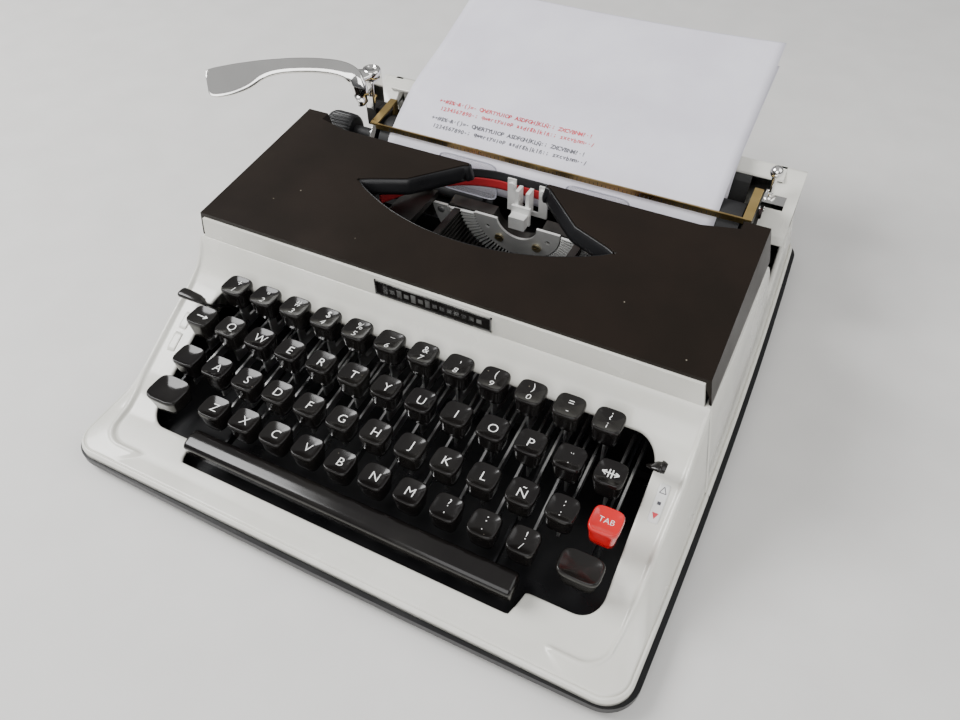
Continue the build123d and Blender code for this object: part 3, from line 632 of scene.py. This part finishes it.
# %% Four rows of typing keys
ROWS = {1: (-105.5, 12, 100.0, 64.1), 2: (-96.4, 11, 80.4, 54.5), 3: (-91.0, 11, 60.1, 45.8),
        4: (-82.7, 10, 43.8, 35.8)}  # first key's x, count, y, height of the rim
PITCH = 19.0
for row, (x0, count, y, top) in ROWS.items():
    make_piece(f"caps_row_{row}", [cap_grid(x0 + PITCH * k, y, top) for k in range(count)], f"key_row_{row}",
               KEY_BLACK, f"key_caps_row_{row}")
print("typing keys", sum(count for _, count, _, _ in ROWS.values()))

# %% Single keys
SINGLE = {"shift_lock": (-110, 60.1, 45.8), "backspace": (-115.4, 80.4, 54.5),
          "margin_release": (112.6, 80.4, 54.5)}
TAB = (119, 58.5, 52)
for key, (x, y, top) in SINGLE.items():
    make_piece(f"cap_{key}", [cap_grid(x, y, top)], key, KEY_BLACK, f"{key}_key")
make_piece("cap_tab", [cap_grid(*TAB, 14, 13.5, 12)], "tab", RED, "tab_key")
make_piece("caps_shift", [cap_grid(-110, 41.5, 38, 20, 17, 10, 1.6), cap_grid(115, 43, 36, 20, 14, 10, 1.6)],
           "shift", KEY_BLACK, "shift_keys")
print("single keys", len(SINGLE) + 3)


# %% [markdown]
# The space bar is one long moulding of the same plastic with a round-shouldered section. A box with a bevel
# would do for its ends, but its sloping front needs its own section, so a closed outline is carried along X
# and shrunk a little over the last millimetres to round the ends.

# %% Space bar
def bar_profile():
    """Closed section of the space bar: broken line sampled evenly, its corners rounded by a moving window."""
    corners = np.array([(22.6, 18.5), (32.5, 18.5), (33.6, 26.2), (31.5, 27.8), (28, 28.0), (23.4, 27.2),
                        (21.6, 25.5)])
    ring = np.vstack([corners, corners[:1]])
    s = np.concatenate([[0], np.cumsum(np.linalg.norm(np.diff(ring, axis=0), axis=1))])
    t = np.linspace(0, s[-1], 240, endpoint=False)
    fine = np.stack([np.interp(t, s, ring[:, k]) for k in (0, 1)], -1)
    window = np.hanning(11) / np.hanning(11).sum()
    soft = np.stack([np.convolve(np.concatenate([fine[-5:, k], fine[:, k], fine[:5, k]]), window, "valid")
                     for k in (0, 1)], -1)
    return soft[::6]


section = bar_profile()
mid = section.mean(0)
bar_rows = [np.column_stack([np.full(len(section), x), mid + (section - mid) * k]) for x, k in
            ((-88, 0), (-88, 0.7), (-87.8, 0.86), (-87.2, 0.96), (-86.4, 1), (90.4, 1), (91.2, 0.96),
             (91.8, 0.86), (92, 0.7), (92, 0))]
make_piece("space_bar_moulding", [(np.array(bar_rows), False, True)], "space_bar", KEY_BLACK, "space_bar")
print("space bar section points", len(section))


# %% [markdown]
# Legends are white, sunk flush in the caps by a second shot of plastic. Letters come from Blender's text
# object turned into a mesh; each point is then laid on the dish it belongs to.

# %% Strokes for the signs
def stroke(points, width):
    """Flat mitred line of a given width through a few points: one quad for each run."""
    p = np.asarray(points, float)
    step = np.diff(p, axis=0)
    normal = np.stack([-step[:, 1], step[:, 0]], -1) / np.linalg.norm(step, axis=1)[:, None] * width / 2
    verts = np.stack([p[:-1] + normal, p[:-1] - normal, p[1:] - normal, p[1:] + normal], 1).reshape(-1, 2)
    return verts, np.arange(len(verts)).reshape(-1, 4)


def sign_points(runs, width):
    """Several strokes gathered into one flat mark."""
    verts, faces, start = [], [], 0
    for run in runs:
        points, quads = stroke(run, width)
        verts.append(points)
        faces += (quads + start).tolist()
        start += len(points)
    flat = np.vstack(verts)
    return np.column_stack([flat, np.zeros(len(flat))]), faces


SIGNS = {
    "arrow": [[(-3.4, 0), (2.6, 0)], [(1.0, 1.1), (3.2, 0), (1.0, -1.1)]],
    "release": [[(-0.75, 2.3), (-0.75, -2.3)], [(0.75, 2.3), (0.75, -2.3)], [(-3.2, 0), (3.2, 0)],
                [(-2.0, 1.2), (-3.9, 0), (-2.0, -1.2)], [(2.0, 1.2), (3.9, 0), (2.0, -1.2)]],
    "triangle": [[(-1.5, -1.2), (1.5, -1.2), (0, 1.5), (-1.5, -1.2)]],
    "dot": [[(-0.8, k), (0.8, k)] for k in (-0.5, -0.25, 0, 0.25, 0.5)],
    "down": [[(-1.4 * (k + 4) / 8, k * 0.3), (1.4 * (k + 4) / 8, k * 0.3)] for k in range(-3, 5)],
}


# %% Flat letters
letter_store = {}


def letter_points(text, size, weight):
    """Flat triangles of a text object, centred, in millimetres: (points, faces); each is made once."""
    if text in SIGNS:
        return sign_points(SIGNS[text], size)
    if (text, size) in letter_store:
        return letter_store[text, size]
    curve = bpy.data.curves.new("legend", "FONT")
    curve.body, curve.size, curve.resolution_u, curve.offset = text, size, 3, weight
    obj = bpy.data.objects.new("legend", curve)
    bpy.context.scene.collection.objects.link(obj)
    mesh = bpy.data.meshes.new_from_object(obj.evaluated_get(bpy.context.evaluated_depsgraph_get()))
    co = np.zeros(len(mesh.vertices) * 3)
    mesh.vertices.foreach_get("co", co)
    co = co.reshape(-1, 3)
    faces = [tuple(p.vertices) for p in mesh.polygons]
    bpy.data.objects.remove(obj)
    bpy.data.curves.remove(curve)
    bpy.data.meshes.remove(mesh)
    co -= (co.min(0) + co.max(0)) / 2
    letter_store[text, size] = co, faces
    return co, faces


# %% Marks laid on a surface
def write_marks(name, body, mat, marks, place, weight=-0.05):
    """One mesh from many marks (text, size, dx, dy, anchor); place puts flat points on their surface."""
    verts, faces, start = [], [], 0
    for text, size, dx, dy, anchor in marks:
        co, outlines = letter_points(text, size, weight)
        verts.append(place(co[:, 0] + dx, co[:, 1] + dy, anchor))
        faces += [[start + k for k in face] for face in outlines]
        start += len(co)
    settle(new_object(name, at(np.vstack(verts)), faces, mat), body)


def on_cap(u, v, anchor):
    """Letter points on a cap's dish, 0.08 mm proud."""
    x, y, top = anchor
    depth = DISH_DEPTH * dish_depth(2 * u / CAP_WIDTH, 2 * v / CAP_DEPTH)
    return np.column_stack([x + u, y + v, top + depth + 0.08])


def stacked(upper, lower, anchor):
    """Two marks, one over the other."""
    return [(upper, 5.4, 0, 2.8, anchor), (lower, 5.4, 0, -2.8, anchor)]


# %% Legends of the typing keys
TOP_PAIRS = ["+1", "\"2", "#3", "$4", "%5", "_6", "&7", "'8", "(9", ")0", "=-", "¿¡"]
KEYS = {1: TOP_PAIRS, 2: [*"QWERTYUIOP", "¨´"], 3: [*"ASDFGHJKLÑ", "::"], 4: [*"ZXCVBNM", "?,", ":.", "!/"]}
for row, keys in KEYS.items():
    x0, count, y, top = ROWS[row]
    marks = []
    for k, key in enumerate(keys):
        anchor = (x0 + PITCH * k, y, top)
        marks += stacked(*key, anchor) if len(key) == 2 else [(key, 6.8, 0, 0.2, anchor)]
    write_marks(f"legends_row_{row}", f"key_row_{row}", LEGEND, marks, on_cap)
    print("row", row, "marks", len(marks))

# %% Legends of the single keys
for key, text, size, dy, anchor in (("backspace", "arrow", 0.6, 0, SINGLE["backspace"]),
                                    ("margin_release", "release", 0.6, 0, SINGLE["margin_release"]),
                                    ("tab", "TAB", 3.9, 0.4, TAB)):
    write_marks(f"legend_{key}", key, LEGEND, [(text, size, 0, dy, anchor)], on_cap)
print("letters stored", len(letter_store))


# %% [markdown]
# ## Return lever
# A bright pressed arm that rises from its hub on the carriage and ends in a broad turned-down pad for the
# hand. It is a section carried along a curve: each ring is a flat ellipse with its own width and tilt.

# %% Carry a flat section along a curve
def smooth_path(points, count):
    """Cubic through control rows (Catmull-Rom), sampled evenly; extra columns ride along."""
    p = np.asarray(points, float)
    p = np.vstack([2 * p[0] - p[1], p, 2 * p[-1] - p[-2]])
    t = np.linspace(0, len(p) - 3 - 1e-9, count)
    k = t.astype(int)
    f = (t - k)[:, None]
    a, b, c, d = p[k], p[k + 1], p[k + 2], p[k + 3]
    return 0.5 * (2 * b + (c - a) * f + (2 * a - 5 * b + 4 * c - d) * f**2 + (3 * b - a - 3 * c + d) * f**3)


def pressed_arm(points, count=70, sides=28):
    """Rows of x, y, z, width, thickness, tilt in degrees: an elliptical section square to the path."""
    path = smooth_path(points, count)
    centre, width, thick, tilt = path[:, :3], path[:, 3], path[:, 4], np.radians(path[:, 5])
    ahead = np.gradient(centre, axis=0)
    ahead /= np.linalg.norm(ahead, axis=1)[:, None]
    across = np.cross(ahead, [0, 0, 1.0])
    across /= np.linalg.norm(across, axis=1)[:, None]
    lift = np.cross(across, ahead)
    a = across * np.cos(tilt)[:, None] + lift * np.sin(tilt)[:, None]
    b = -across * np.sin(tilt)[:, None] + lift * np.cos(tilt)[:, None]
    t = np.linspace(0, 2 * np.pi, sides, endpoint=False)
    wide, deep = (np.sign(w) * np.abs(w) ** power for w, power in ((np.cos(t), 0.8), (np.sin(t), 0.7)))
    rows = centre[:, None] + wide[None, :, None] * (a * width[:, None] / 2)[:, None]
    rows += deep[None, :, None] * (b * thick[:, None] / 2)[:, None]
    start, end = (np.repeat(centre[[k]][:, None], sides, 1) for k in (0, -1))
    return np.concatenate([start, rows, end]), False, True


# %% The lever
ARM = [(-124.5, 259, 87, 9, 5.0, 60), (-124.8, 258.6, 93, 10, 5.2, 60), (-126.5, 259, 99, 10.5, 5.2, 56),
       (-131, 260, 104, 10.5, 5.0, 50), (-139, 258.5, 107, 10, 4.8, 46), (-151, 254, 108.4, 9.5, 4.6, 45),
       (-164, 247, 109, 9.5, 4.4, 45), (-175, 240.4, 108.6, 10, 4.0, 45), (-183, 234.5, 107.4, 12.5, 3.6, 45),
       (-190, 227.6, 105.4, 17, 3.2, 45), (-197, 220.5, 104.2, 19, 3.0, 45),
       (-203, 214.6, 104.0, 18.4, 2.6, 45), (-205.6, 212, 104.1, 16, 2.0, 45),
       (-206.4, 211.2, 104.2, 11, 1.4, 45)]
hub_rings = [(0, 99.4), (5.6, 99.4), (6.2, 100), (6.2, 103.6), (5.2, 105), (3.4, 105.4), (3.4, 104.6),
             (0, 104.4)]
neck = pressed_arm([(-124, 271.5, 102.4, 9, 4, 0), (-126, 266, 102.6, 10, 4.4, 10),
                    (-129.5, 260.5, 103, 10, 4.6, 30)], 16)
round_hub = np.linspace(0, 2 * np.pi, 36, endpoint=False)
hub = np.array([np.column_stack([-124 + r * np.cos(round_hub), 271.5 + r * np.sin(round_hub), np.full(36, z)])
                for r, z in hub_rings])
lever = make_piece("chrome_arm", [pressed_arm(ARM), neck, (hub, False, True)], "return_lever", CHROME,
                   "return_lever")
sleeve = make_piece("lever_bracket", [box_grid(-128, -120, 265.4, 277.6, 79, 99.1)], "carriage", CHROME)
soften(sleeve, 1.6, 4)
print("lever faces", len(lever.data.polygons))


# %% [markdown]
# ## Writing paper
# One sheet passes down behind the platen, round it and up again in front, then falls back over the paper
# table. It is a strip swept along that line, with a slight curl across, and the typing is laid on it.

# %% The sheet's line and surface
PLATEN = (262.0, 63.0, 16.4)  # y and z of the axis, radius with the sheet on it
PAPER_MID, PAPER_WIDTH = 4.0, 210.0


def sheet_line():
    """Side view of the sheet: tail, wrap of 246 degrees, then the front leaf; returns y, z rows."""
    tail = smooth_path([(374, 109), (330, 100), (290.5, 89), (279.2, 73), (278.4, 65)], 60)
    turn = np.radians(np.linspace(0, -246, 110))
    wrap = np.stack([PLATEN[0] + PLATEN[2] * np.cos(turn), PLATEN[1] + PLATEN[2] * np.sin(turn)], -1)
    leave = wrap[-1]
    leaf = smooth_path([wrap[-6], leave, (266, 84.6), (286, 94.5), (318, 103), (348, 112), (377, 121)], 130)
    leaf = leaf[leaf[:, 0] > leave[0] + 0.1]
    return tail[:-1], wrap, leaf


tail, wrap, leaf = sheet_line()
line = np.vstack([tail, wrap, leaf])
print("sheet length mm", round(float(np.linalg.norm(np.diff(line, axis=0), axis=1).sum())))


# %% The sheet
def curl(y, u):
    """Lift of the free leaf's corners: grows with the square of the distance across and past the bail."""
    return np.clip((y - 285) / 92, 0, 1) ** 2 * (2.2 * u**2 - 0.8)


across = np.linspace(-1, 1, 41)
columns = PAPER_MID + across[None] * PAPER_WIDTH / 2
sheet = np.stack(np.broadcast_arrays(columns, line[:, :1], line[:, 1:]), -1)
sheet[-len(leaf):, :, 2] += curl(leaf[:, :1], across[None])
make_piece("writing_sheet", [(sheet, False, False)], "carriage", PAPER, "paper_sheet",
           thickness=0.15)

# %% [markdown]
# The typing is a plain run through the keyboard, twice in black and twice in red, each letter on its own
# step of 2.2 mm and a hair off its line as a hand machine leaves it. Flat letters laid on the sheet keep
# their edges at any distance, where a picture of a page would not.

# %% Typing on the sheet
leaf_run = np.concatenate([[0], np.cumsum(np.linalg.norm(np.diff(leaf, axis=0), axis=1))])
PROUD = 0.15


def on_leaf(u, v, anchor):
    """Flat text point to the sheet: v runs up the leaf from its start, u across it, PROUD mm off its face."""
    s = v + anchor
    y, z = np.interp(s, leaf_run, leaf[:, 0]), np.interp(s, leaf_run, leaf[:, 1])
    slope_y, slope_z = (np.interp(s + 0.5, leaf_run, leaf[:, k]) - w for k, w in ((0, y), (1, z)))
    size = np.hypot(slope_y, slope_z) + 1e-9
    lift = curl(y, u / (PAPER_WIDTH / 2))
    return np.column_stack([PAPER_MID + u, y - PROUD * slope_z / size, z + lift + PROUD * slope_y / size])


LINES = ["+\"#$%_&'()=- QWERTYUIOP ASDFGHJKLÑ:; ZXCVBNM?.!",
         "1234567890-; qwertyuiop asdfghjklñ:; zxcvbnm,./"]
TYPED_STEP = 2.2
jitter = np.random.default_rng(7)
for name, mat, base in (("typing_black", INK_BLACK, 12.5), ("typing_red", INK_RED, 25.0)):
    marks = [(c, 3.7, -81 + TYPED_STEP * i + 3 * k, -5.2 * k + jitter.normal(0, 0.08), base)
             for k, text in enumerate(LINES) for i, c in enumerate(text) if c != " "]
    write_marks(name, "carriage", mat, marks, on_leaf, weight=0.1)
    print(name, len(marks), "letters")


# %% [markdown]
# ## Carriage cover
# A cream moulding that runs along the back of the carriage, with a broad wing round its right end and a
# small one on the left. The ridge and wings are profiles swept along X, with rounded edges from a bevel.

# %% Sweep profiles along X
def swept(profile, x0, x1):
    """Closed side view (y, z) carried from x0 to x1, with flat ends."""
    ring = np.asarray(profile, float)
    mid = ring.mean(0)
    return np.array([np.column_stack([np.full(len(ring), x), mid + (ring - mid) * k])
                     for x, k in ((x0, 0), (x0, 1), (x1, 1), (x1, 0))]), False, True


# %% Ridge and wings
WING = [(297.6, 50), (299.5, 50), (300.5, 84), (299.8, 87), (298, 88), (296, 88), (281, 75), (266.5, 62.8),
        (266, 58), (268, 56), (270.5, 56.6), (283, 68), (295.6, 78.4)]
RIDGE = [(297, 49), (299.5, 49), (300.5, 84), (300, 87), (298.4, 88), (296, 88), (289.4, 84.6), (289, 83.4),
         (290, 82.4), (296, 84.6)]
LEFT_BIT = [(297.6, 50), (299.5, 50), (300.5, 84), (299.8, 87), (298, 88), (296, 88), (284.4, 76.6),
            (284, 74.6), (286, 74.2), (295.8, 78.2)]
runs = [swept(RIDGE, -122, 135), swept(WING, 129.2, 146), swept(LEFT_BIT, -131, -117)]
carriage_shell = make_piece("carriage_moulding", runs, "carriage", CREAM, "carriage_cover",
                            merge=False)
soften(carriage_shell, 1.0, 4)
print("carriage cover faces", len(carriage_shell.data.polygons))


# %% [markdown]
# ## Platen knob
# The knob is a black moulding with flutes for the fingers: rings about the platen's axis whose radius
# swings with the angle, fading out towards the rounded ends.

# %% Fluted knob
FLUTES, FLUTE_DEPTH = 30, 0.32
knob_x = np.array([-155, -155, -154.8, -154, -152.6, -150, -140, -137.4, -136, -135.2, -135, -135.0])
knob_r = np.array([0, 5.6, 7.8, 9.2, 9.9, 10.2, 10.2, 10.0, 9.6, 8.8, 7, 0])
flute = np.array([0, 0, 0, 0, 0.5, 1, 1, 0.8, 0.3, 0, 0, 0])
turn = np.linspace(0, 2 * np.pi, 240, endpoint=False)
radius = knob_r[:, None] + flute[:, None] * FLUTE_DEPTH * np.cos(FLUTES * turn)[None]
knob = np.stack([np.broadcast_to(knob_x[:, None], radius.shape), PLATEN[0] + radius * np.cos(turn),
                 PLATEN[1] + radius * np.sin(turn)], -1)
make_piece("fluted_knob", [(knob, False, True)], "platen", BLACK, "platen_knob")
print("knob radius", knob_r.max(), "mm")


# %% [markdown]
# ## Ribbon
# A woven ribbon, black above and red below, runs from spool to spool past the type guide. It is one line in
# plan; the two inks are two strips of it, one over the other.

# %% Two-colour ribbon
RIBBON_HALF = 6.1
ribbon_plan = smooth_path([(-77, 198), (-64, 219), (-50, 231.5), (-36, 239), (-22, 242.6), (-10, 243),
                           (10, 243), (22, 242.6), (36, 239), (50, 231.5), (64, 219), (77, 198)], 160)
for name, mat, node, low in (("ribbon_red_half", RIBBON_RED, None, 62.2),
                             ("ribbon_black_half", RIBBON_BLACK, "ink_ribbon", 62.2 + RIBBON_HALF)):
    strip = np.stack([np.column_stack([ribbon_plan, np.full(len(ribbon_plan), z)])
                      for z in np.linspace(low, low + RIBBON_HALF, 6)])
    make_piece(name, [(strip, False, False)], "chassis", mat, node, thickness=0.12)
print("ribbon length mm", round(float(np.linalg.norm(np.diff(ribbon_plan, axis=0), axis=1).sum())))


# %% [markdown]
# ## Type basket
# The type bars stand in a slotted steel segment and fan out below a bright face plate. Seen from the
# typist's side they are a comb of light ribs over dark gaps, so each bar is a slim lofted strip that runs
# out from its slot along the segment's plane, and 44 of them share one formula in the turning angle. The
# dark gaps are painted shade: the CAD type bars and segment behind the ribs are given a dark steel colour.

# %% Comb of ribs in the segment's plane
SEG_ORIGIN = np.array([0, 227.0, 54.0])
SEG_ACROSS, SEG_UP, SEG_NORMAL = np.array([[1.0, 0, 0], [0, -0.199, 0.98], [0, -0.98, -0.199]])
BARS, FAN_START, FAN = 44, 183, 174  # bars, and the degrees that they fan through


def in_segment(r, angle, lift):
    """Point of the segment's plane: r cos(angle) along X, r sin(angle) up the plane, lift off its face."""
    across, up, out = np.broadcast_arrays(r * np.cos(angle), r * np.sin(angle), lift)
    return SEG_ORIGIN + across[..., None] * SEG_ACROSS + up[..., None] * SEG_UP + out[..., None] * SEG_NORMAL


def rib(angle):
    """One bar: section of four points that keeps half of its share of the ring from r 28.6 to r 46."""
    r = np.array([28.6, 28.6, 29.4, 36, 44, 46, 46.4, 46.4])
    open_up = np.array([0, 1, 1, 1, 1, 1, 0.8, 0])[:, None]
    half = 0.46 * np.radians(FAN / (BARS - 1)) / 2 * open_up
    low, high = np.full(8, 0.5)[:, None], (0.5 + np.array([0, 0.8, 1.4, 1.6, 1.6, 1.2, 0.5, 0]))[:, None]
    corner_a = angle + half * np.array([-1, -0.7, 0.7, 1])
    lift = np.where(np.array([1, 0, 0, 1]), low, high)
    return in_segment(r[:, None], corner_a, lift), False, True


angles = np.radians(FAN_START + FAN * np.arange(BARS) / (BARS - 1))
make_piece("type_bar_comb", [rib(a) for a in angles], "chassis", NICKEL, smooth=False)
print("bars in the comb", len(angles))


# %% Shoulders and their screws
def shoulder(start, stop):
    """Light plate beside the comb: ring sector from r 46.8 to r 57 between two angles, 1.6 mm thick."""
    turn = np.radians(np.linspace(start, stop, 14))
    section = np.array([(46.8, 0.2), (57, 0.2), (57, 1.8), (46.8, 1.8)])
    rows = [in_segment(section[:, 0], t, section[:, 1]) for t in turn]
    caps = [np.repeat(row.mean(0)[None], 4, 0) for row in (rows[0], rows[-1])]
    return np.array([caps[0], *rows, caps[1]]), False, True


def screw_head(r, angle, lift, size=2.4):
    """Domed head: shrinking rings round a point of the segment's plane, each a little higher."""
    centre = in_segment(r, np.radians(angle), lift)
    t = np.linspace(0, 2 * np.pi, 24, endpoint=False)
    ring = np.cos(t)[:, None] * SEG_ACROSS + np.sin(t)[:, None] * SEG_UP
    return np.array([centre + ring * size * s + SEG_NORMAL * h for s, h in
                     ((1, 0), (1, 0.4), (0.9, 0.75), (0.5, 0.95), (0, 1.0))]), False, True


make_piece("comb_shoulders", [shoulder(181, 203), shoulder(337, 359)], "chassis", NICKEL,
           smooth=False)
make_piece("shoulder_screws", [screw_head(52, 186, 1.8), screw_head(52, 354, 1.8)], "chassis", CASTING)
print("shoulder span", 203 - 181, "degrees")


# %% [markdown]
# ## Small fittings
# A selector plate with its marks, two finger levers, the card holders' clear edges, the bail's scale and two
# raised marks on the left of the deck finish the front of the machine. The plates could be boxes sunk in the
# deck, but the deck curves, so each is laid on the deck's own height law and follows it.

# %% Plates that lie on the deck
def deck_patch(x0, x1, y0, y1, lift):
    """Small raised plate: superellipse rings laid on the deck's height law, lift mm above it."""
    ring = squircle(1, 1, 48, 9.0)
    rows = []
    for k, drop in ((1.0, -0.6), (1.0, lift * 0.5), (0.985, lift), (0.6, lift), (0.0, lift)):
        x, y = (x0 + x1) / 2 + ring[:, 0] * (x1 - x0) * k, (y0 + y1) / 2 + ring[:, 1] * (y1 - y0) * k
        rows.append(np.column_stack([x, y, deck_z(y) + drop]))
    return np.array(rows), False, True


make_piece("selector_face", [deck_patch(132.8, 137.8, 75, 91.4, 0.45)], "chassis", WHITE_STRIP,
           "selector_plate")
make_piece("deck_marks", [deck_patch(-135.5, -130.5, 78, 87, 0.4), deck_patch(-135.5, -130.5, 66, 76, 0.4)],
           "chassis", CREAM)
print("deck plates", 3)


# %% Marks of the selector
def on_deck(u, v, anchor):
    """Flat mark to the deck at an anchor (x, y), on the plate's face."""
    y = anchor[1] + v
    return np.column_stack([anchor[0] + u, y, deck_z(y) + 0.52])


write_marks("selector_open", "chassis", INK_BLACK,
            [("triangle", 0.35, 0, 0, (135.3, 88.4)), ("dot", 0.35, 0, 0, (135.3, 83))], on_deck)
write_marks("selector_red", "chassis", INK_RED, [("down", 0.35, 0, 0, (135.3, 77.6))], on_deck)
print("signs drawn by hand", len(SIGNS))


# %% Finger levers
def finger_lever(name, body, side, arm_x, tip_x, y, z):
    """Bent black strip: up from its hub, over the edge of the well, flaring to a thumb tab."""
    path = [(arm_x, 112, 26, 4.4, 1.4, 0), (arm_x, 104, 38, 4.4, 1.4, 0), (arm_x, y + 3, z - 5, 4.6, 1.6, 0),
            (arm_x + side * 1.5, y + 0.5, z - 0.6, 5.2, 2.0, 0), (arm_x + side * 5, y, z + 0.6, 6.0, 2.6, 0),
            (tip_x - side * 2, y, z + 0.9, 6.6, 3.4, 0), (tip_x, y, z + 0.7, 5.4, 2.6, 0)]
    return make_piece(name, [pressed_arm(path, 50, 20)], body, KEY_BLACK, body)


finger_lever("colour_tab", "colour_lever", 1, 126.6, 133.6, 92, 54.5)
finger_lever("touch_tab", "touch_lever", -1, -122.9, -138.4, 90, 53.5)
print("finger levers", 2)


# %% Card holders with rounded corners
def card(x_mid):
    """Clear plate: squircle 40 x 26 in the XZ plane, 0.6 thick, and a round bead along its edge."""
    ring = squircle(40, 26, 80, 7.0) + [x_mid, 64.0]
    mid = ring.mean(0)
    flat = [mid + (ring - mid) * k for k in (0, 0.98, 1, 1, 0.98, 0)]
    rows = [np.column_stack([points[:, 0], np.full(80, y), points[:, 1]])
            for points, y in zip(flat, (244.3, 244.3, 244.45, 244.75, 244.9, 244.9))]
    centre = np.column_stack([ring[:, 0], np.full(80, 244.6), ring[:, 1]])
    out = (ring - mid) / np.linalg.norm(ring - mid, axis=1)[:, None]
    a = np.column_stack([out[:, 0], np.zeros(80), out[:, 1]])
    edge = tube_grid(centre - a * 0.4, np.full(80, 0.45), a, np.tile([0, 1.0, 0], (80, 1)), 8)
    return (np.array(rows), False, True), (edge, True, True)


plates, edges = zip(*(card(x) for x in (-42, 42)))
make_piece("card_plates", list(plates), "chassis", CLEAR, "card_holders")
make_piece("card_edges", list(edges), "chassis", CLEAR_EDGE)
print("card holders", len(plates))

# %% Scale on the bail
STEP = 2.54  # ten letters to the inch
ticks = [box_grid(x - 0.13, x + 0.13, 249.86, 250.3, 77.2, 78.6 + (k % 5 == 0))
         for k, x in enumerate(np.arange(-100, 113, STEP))]
make_piece("bail_scale", ticks, "paper_bail", INK_BLACK, smooth=False)
print("ticks", len(ticks))

# %% Black inner cheek
inner = [box_grid(side * 137.6 - 3.4, side * 137.6 + 3.4, 234.5, 245.4, 30, 66) for side in (-1, 1)]
inner_cheek = make_piece("inner_cheeks", inner, "chassis", BLACK)
soften(inner_cheek, 2.0, 4)
print("inner cheeks", len(inner))


# %% [markdown]
# ## Carried-over parts
# The mechanism's plates, bars and rollers are already true in the CAD, so they keep their meshes and get
# finishes of their own. Making them again here would only risk a bar that no longer meets its pivot.

# %% Finishes for the frame's nodes
DRESS = {
    BLACK: "base_tray machine_frame platen_knob colour_lever touch_lever shift_levers space_bar_levers",
    RUBBER: "rubber_feet platen_roller feed_rollers",
    NICKEL: "segment_plate type_guide ribbon_vibrator",
    BRASS_SCREW: "segment_screws",
    STEEL: "carriage_rails lever_pivot_rod key_levers_row_1 key_levers_row_2 key_levers_row_3 "
           "key_levers_row_4 shift_lock_lever backspace_lever tab_lever margin_release_lever "
           "margin_stop_left margin_stop_right platen_ratchet name_plate",
    # type_segment and typebars: the dark steel on them is painted shade, so the gaps between the comb's ribs
    # read dark.
    DARK_STEEL_AND_SHADE: "type_segment typebars ribbon_castings carriage_frame mainspring_drum",
    CASTING: "margin_bell",
    CHROME: "return_lever carriage_release_lever paper_release_lever",
    BRASS: "paper_bail",
    RIBBON_BLACK: "ribbon_spool_left ribbon_spool_right",
    CREAM: "cover_front_strip",
    DEEP_BLACK: "paper_table",
    CLEAR: "card_holders",
    PAPER: "paper_sheet",
}
for mat, names in DRESS.items():
    for name in names.split():
        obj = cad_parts[name]
        if not obj.material_slots:
            obj.data.materials.append(mat)
        for cell in obj.material_slots:
            cell.material = mat
print("nodes dressed", sum(len(names.split()) for names in DRESS.values()))


# %% [markdown]
# ## Floor, light and camera
# Plain pale sweep, three soft lamps and an even sky: enough for the gloss to show its shape.

# %% Floor
REACH = 3.0
FLOOR = finish("floor_paper", (0.70, 0.69, 0.67), (0.73, 0.72, 0.70), (0.6, 0.7), bump=0.02)
corners = np.array([(-REACH, -REACH, 0), (REACH, -REACH, 0), (REACH, REACH, 0), (-REACH, REACH, 0)])
new_object("floor", corners, [(0, 1, 2, 3)], FLOOR)
print("floor", 2 * REACH, "m square")

# %% Sky
sky = bpy.data.worlds.new("studio")
bpy.context.scene.world = sky
sky.use_nodes = True
dome_tree = sky.node_tree
backdrop = dome_tree.nodes["Background"]
direction, height, dome = (new_node(dome_tree, kind) for kind in ("TexCoord", "SeparateXYZ", "ValToRGB"))
low_sky, high_sky = dome.color_ramp.elements
low_sky.color, high_sky.color, high_sky.position = (0.16, 0.16, 0.17, 1), (1, 1, 1, 1), 0.8
join(dome_tree, (direction, "Generated", height, 0), (height, "Z", dome, 0), (dome, 0, backdrop, "Color"))
backdrop.inputs["Strength"].default_value = 0.5
print("sky strength", backdrop.inputs["Strength"].default_value)


# %% Lamps
def soft_lamp(name, place, aim, power, size):
    """Square area lamp at a place in frame metres, turned to face its aim."""
    data = bpy.data.lights.new(name, "AREA")
    data.energy, data.size = power, size
    lamp = bpy.data.objects.new(name, data)
    lamp.location = place
    lamp.rotation_euler = (Vector(aim) - Vector(place)).to_track_quat("-Z", "Y").to_euler()
    bpy.context.scene.collection.objects.link(lamp)


aim = tuple(at((0, 170, 50)))
soft_lamp("key_light", at((-1100, -100, 1150)), aim, 32, 0.8)
soft_lamp("fill_light", at((1100, 300, 1000)), aim, 9, 1.2)
soft_lamp("front_light", at((300, -1100, 800)), aim, 11, 1.0)
print("lamps", len(bpy.data.lights))

# %% Camera
right, up, ahead = Vector((0.8932, 0.4497, -0.0131)), Vector((-0.3174, 0.6505, 0.690)), \
    Vector((-0.3185, 0.6122, -0.7235))
camera = bpy.data.objects.new("camera", bpy.data.cameras.new("camera"))
camera.data.sensor_width, camera.data.lens, camera.data.clip_start = 36, 28.98, 0.01
place = Vector(at((153.2275, -118.787, 331.3697)))
camera.matrix_world = Matrix.Translation(place) @ Matrix((right, up, -ahead)).transposed().to_4x4()
bpy.context.scene.collection.objects.link(camera)
bpy.context.scene.camera = camera
print("camera stands", round(place.z, 3), "m above the floor")
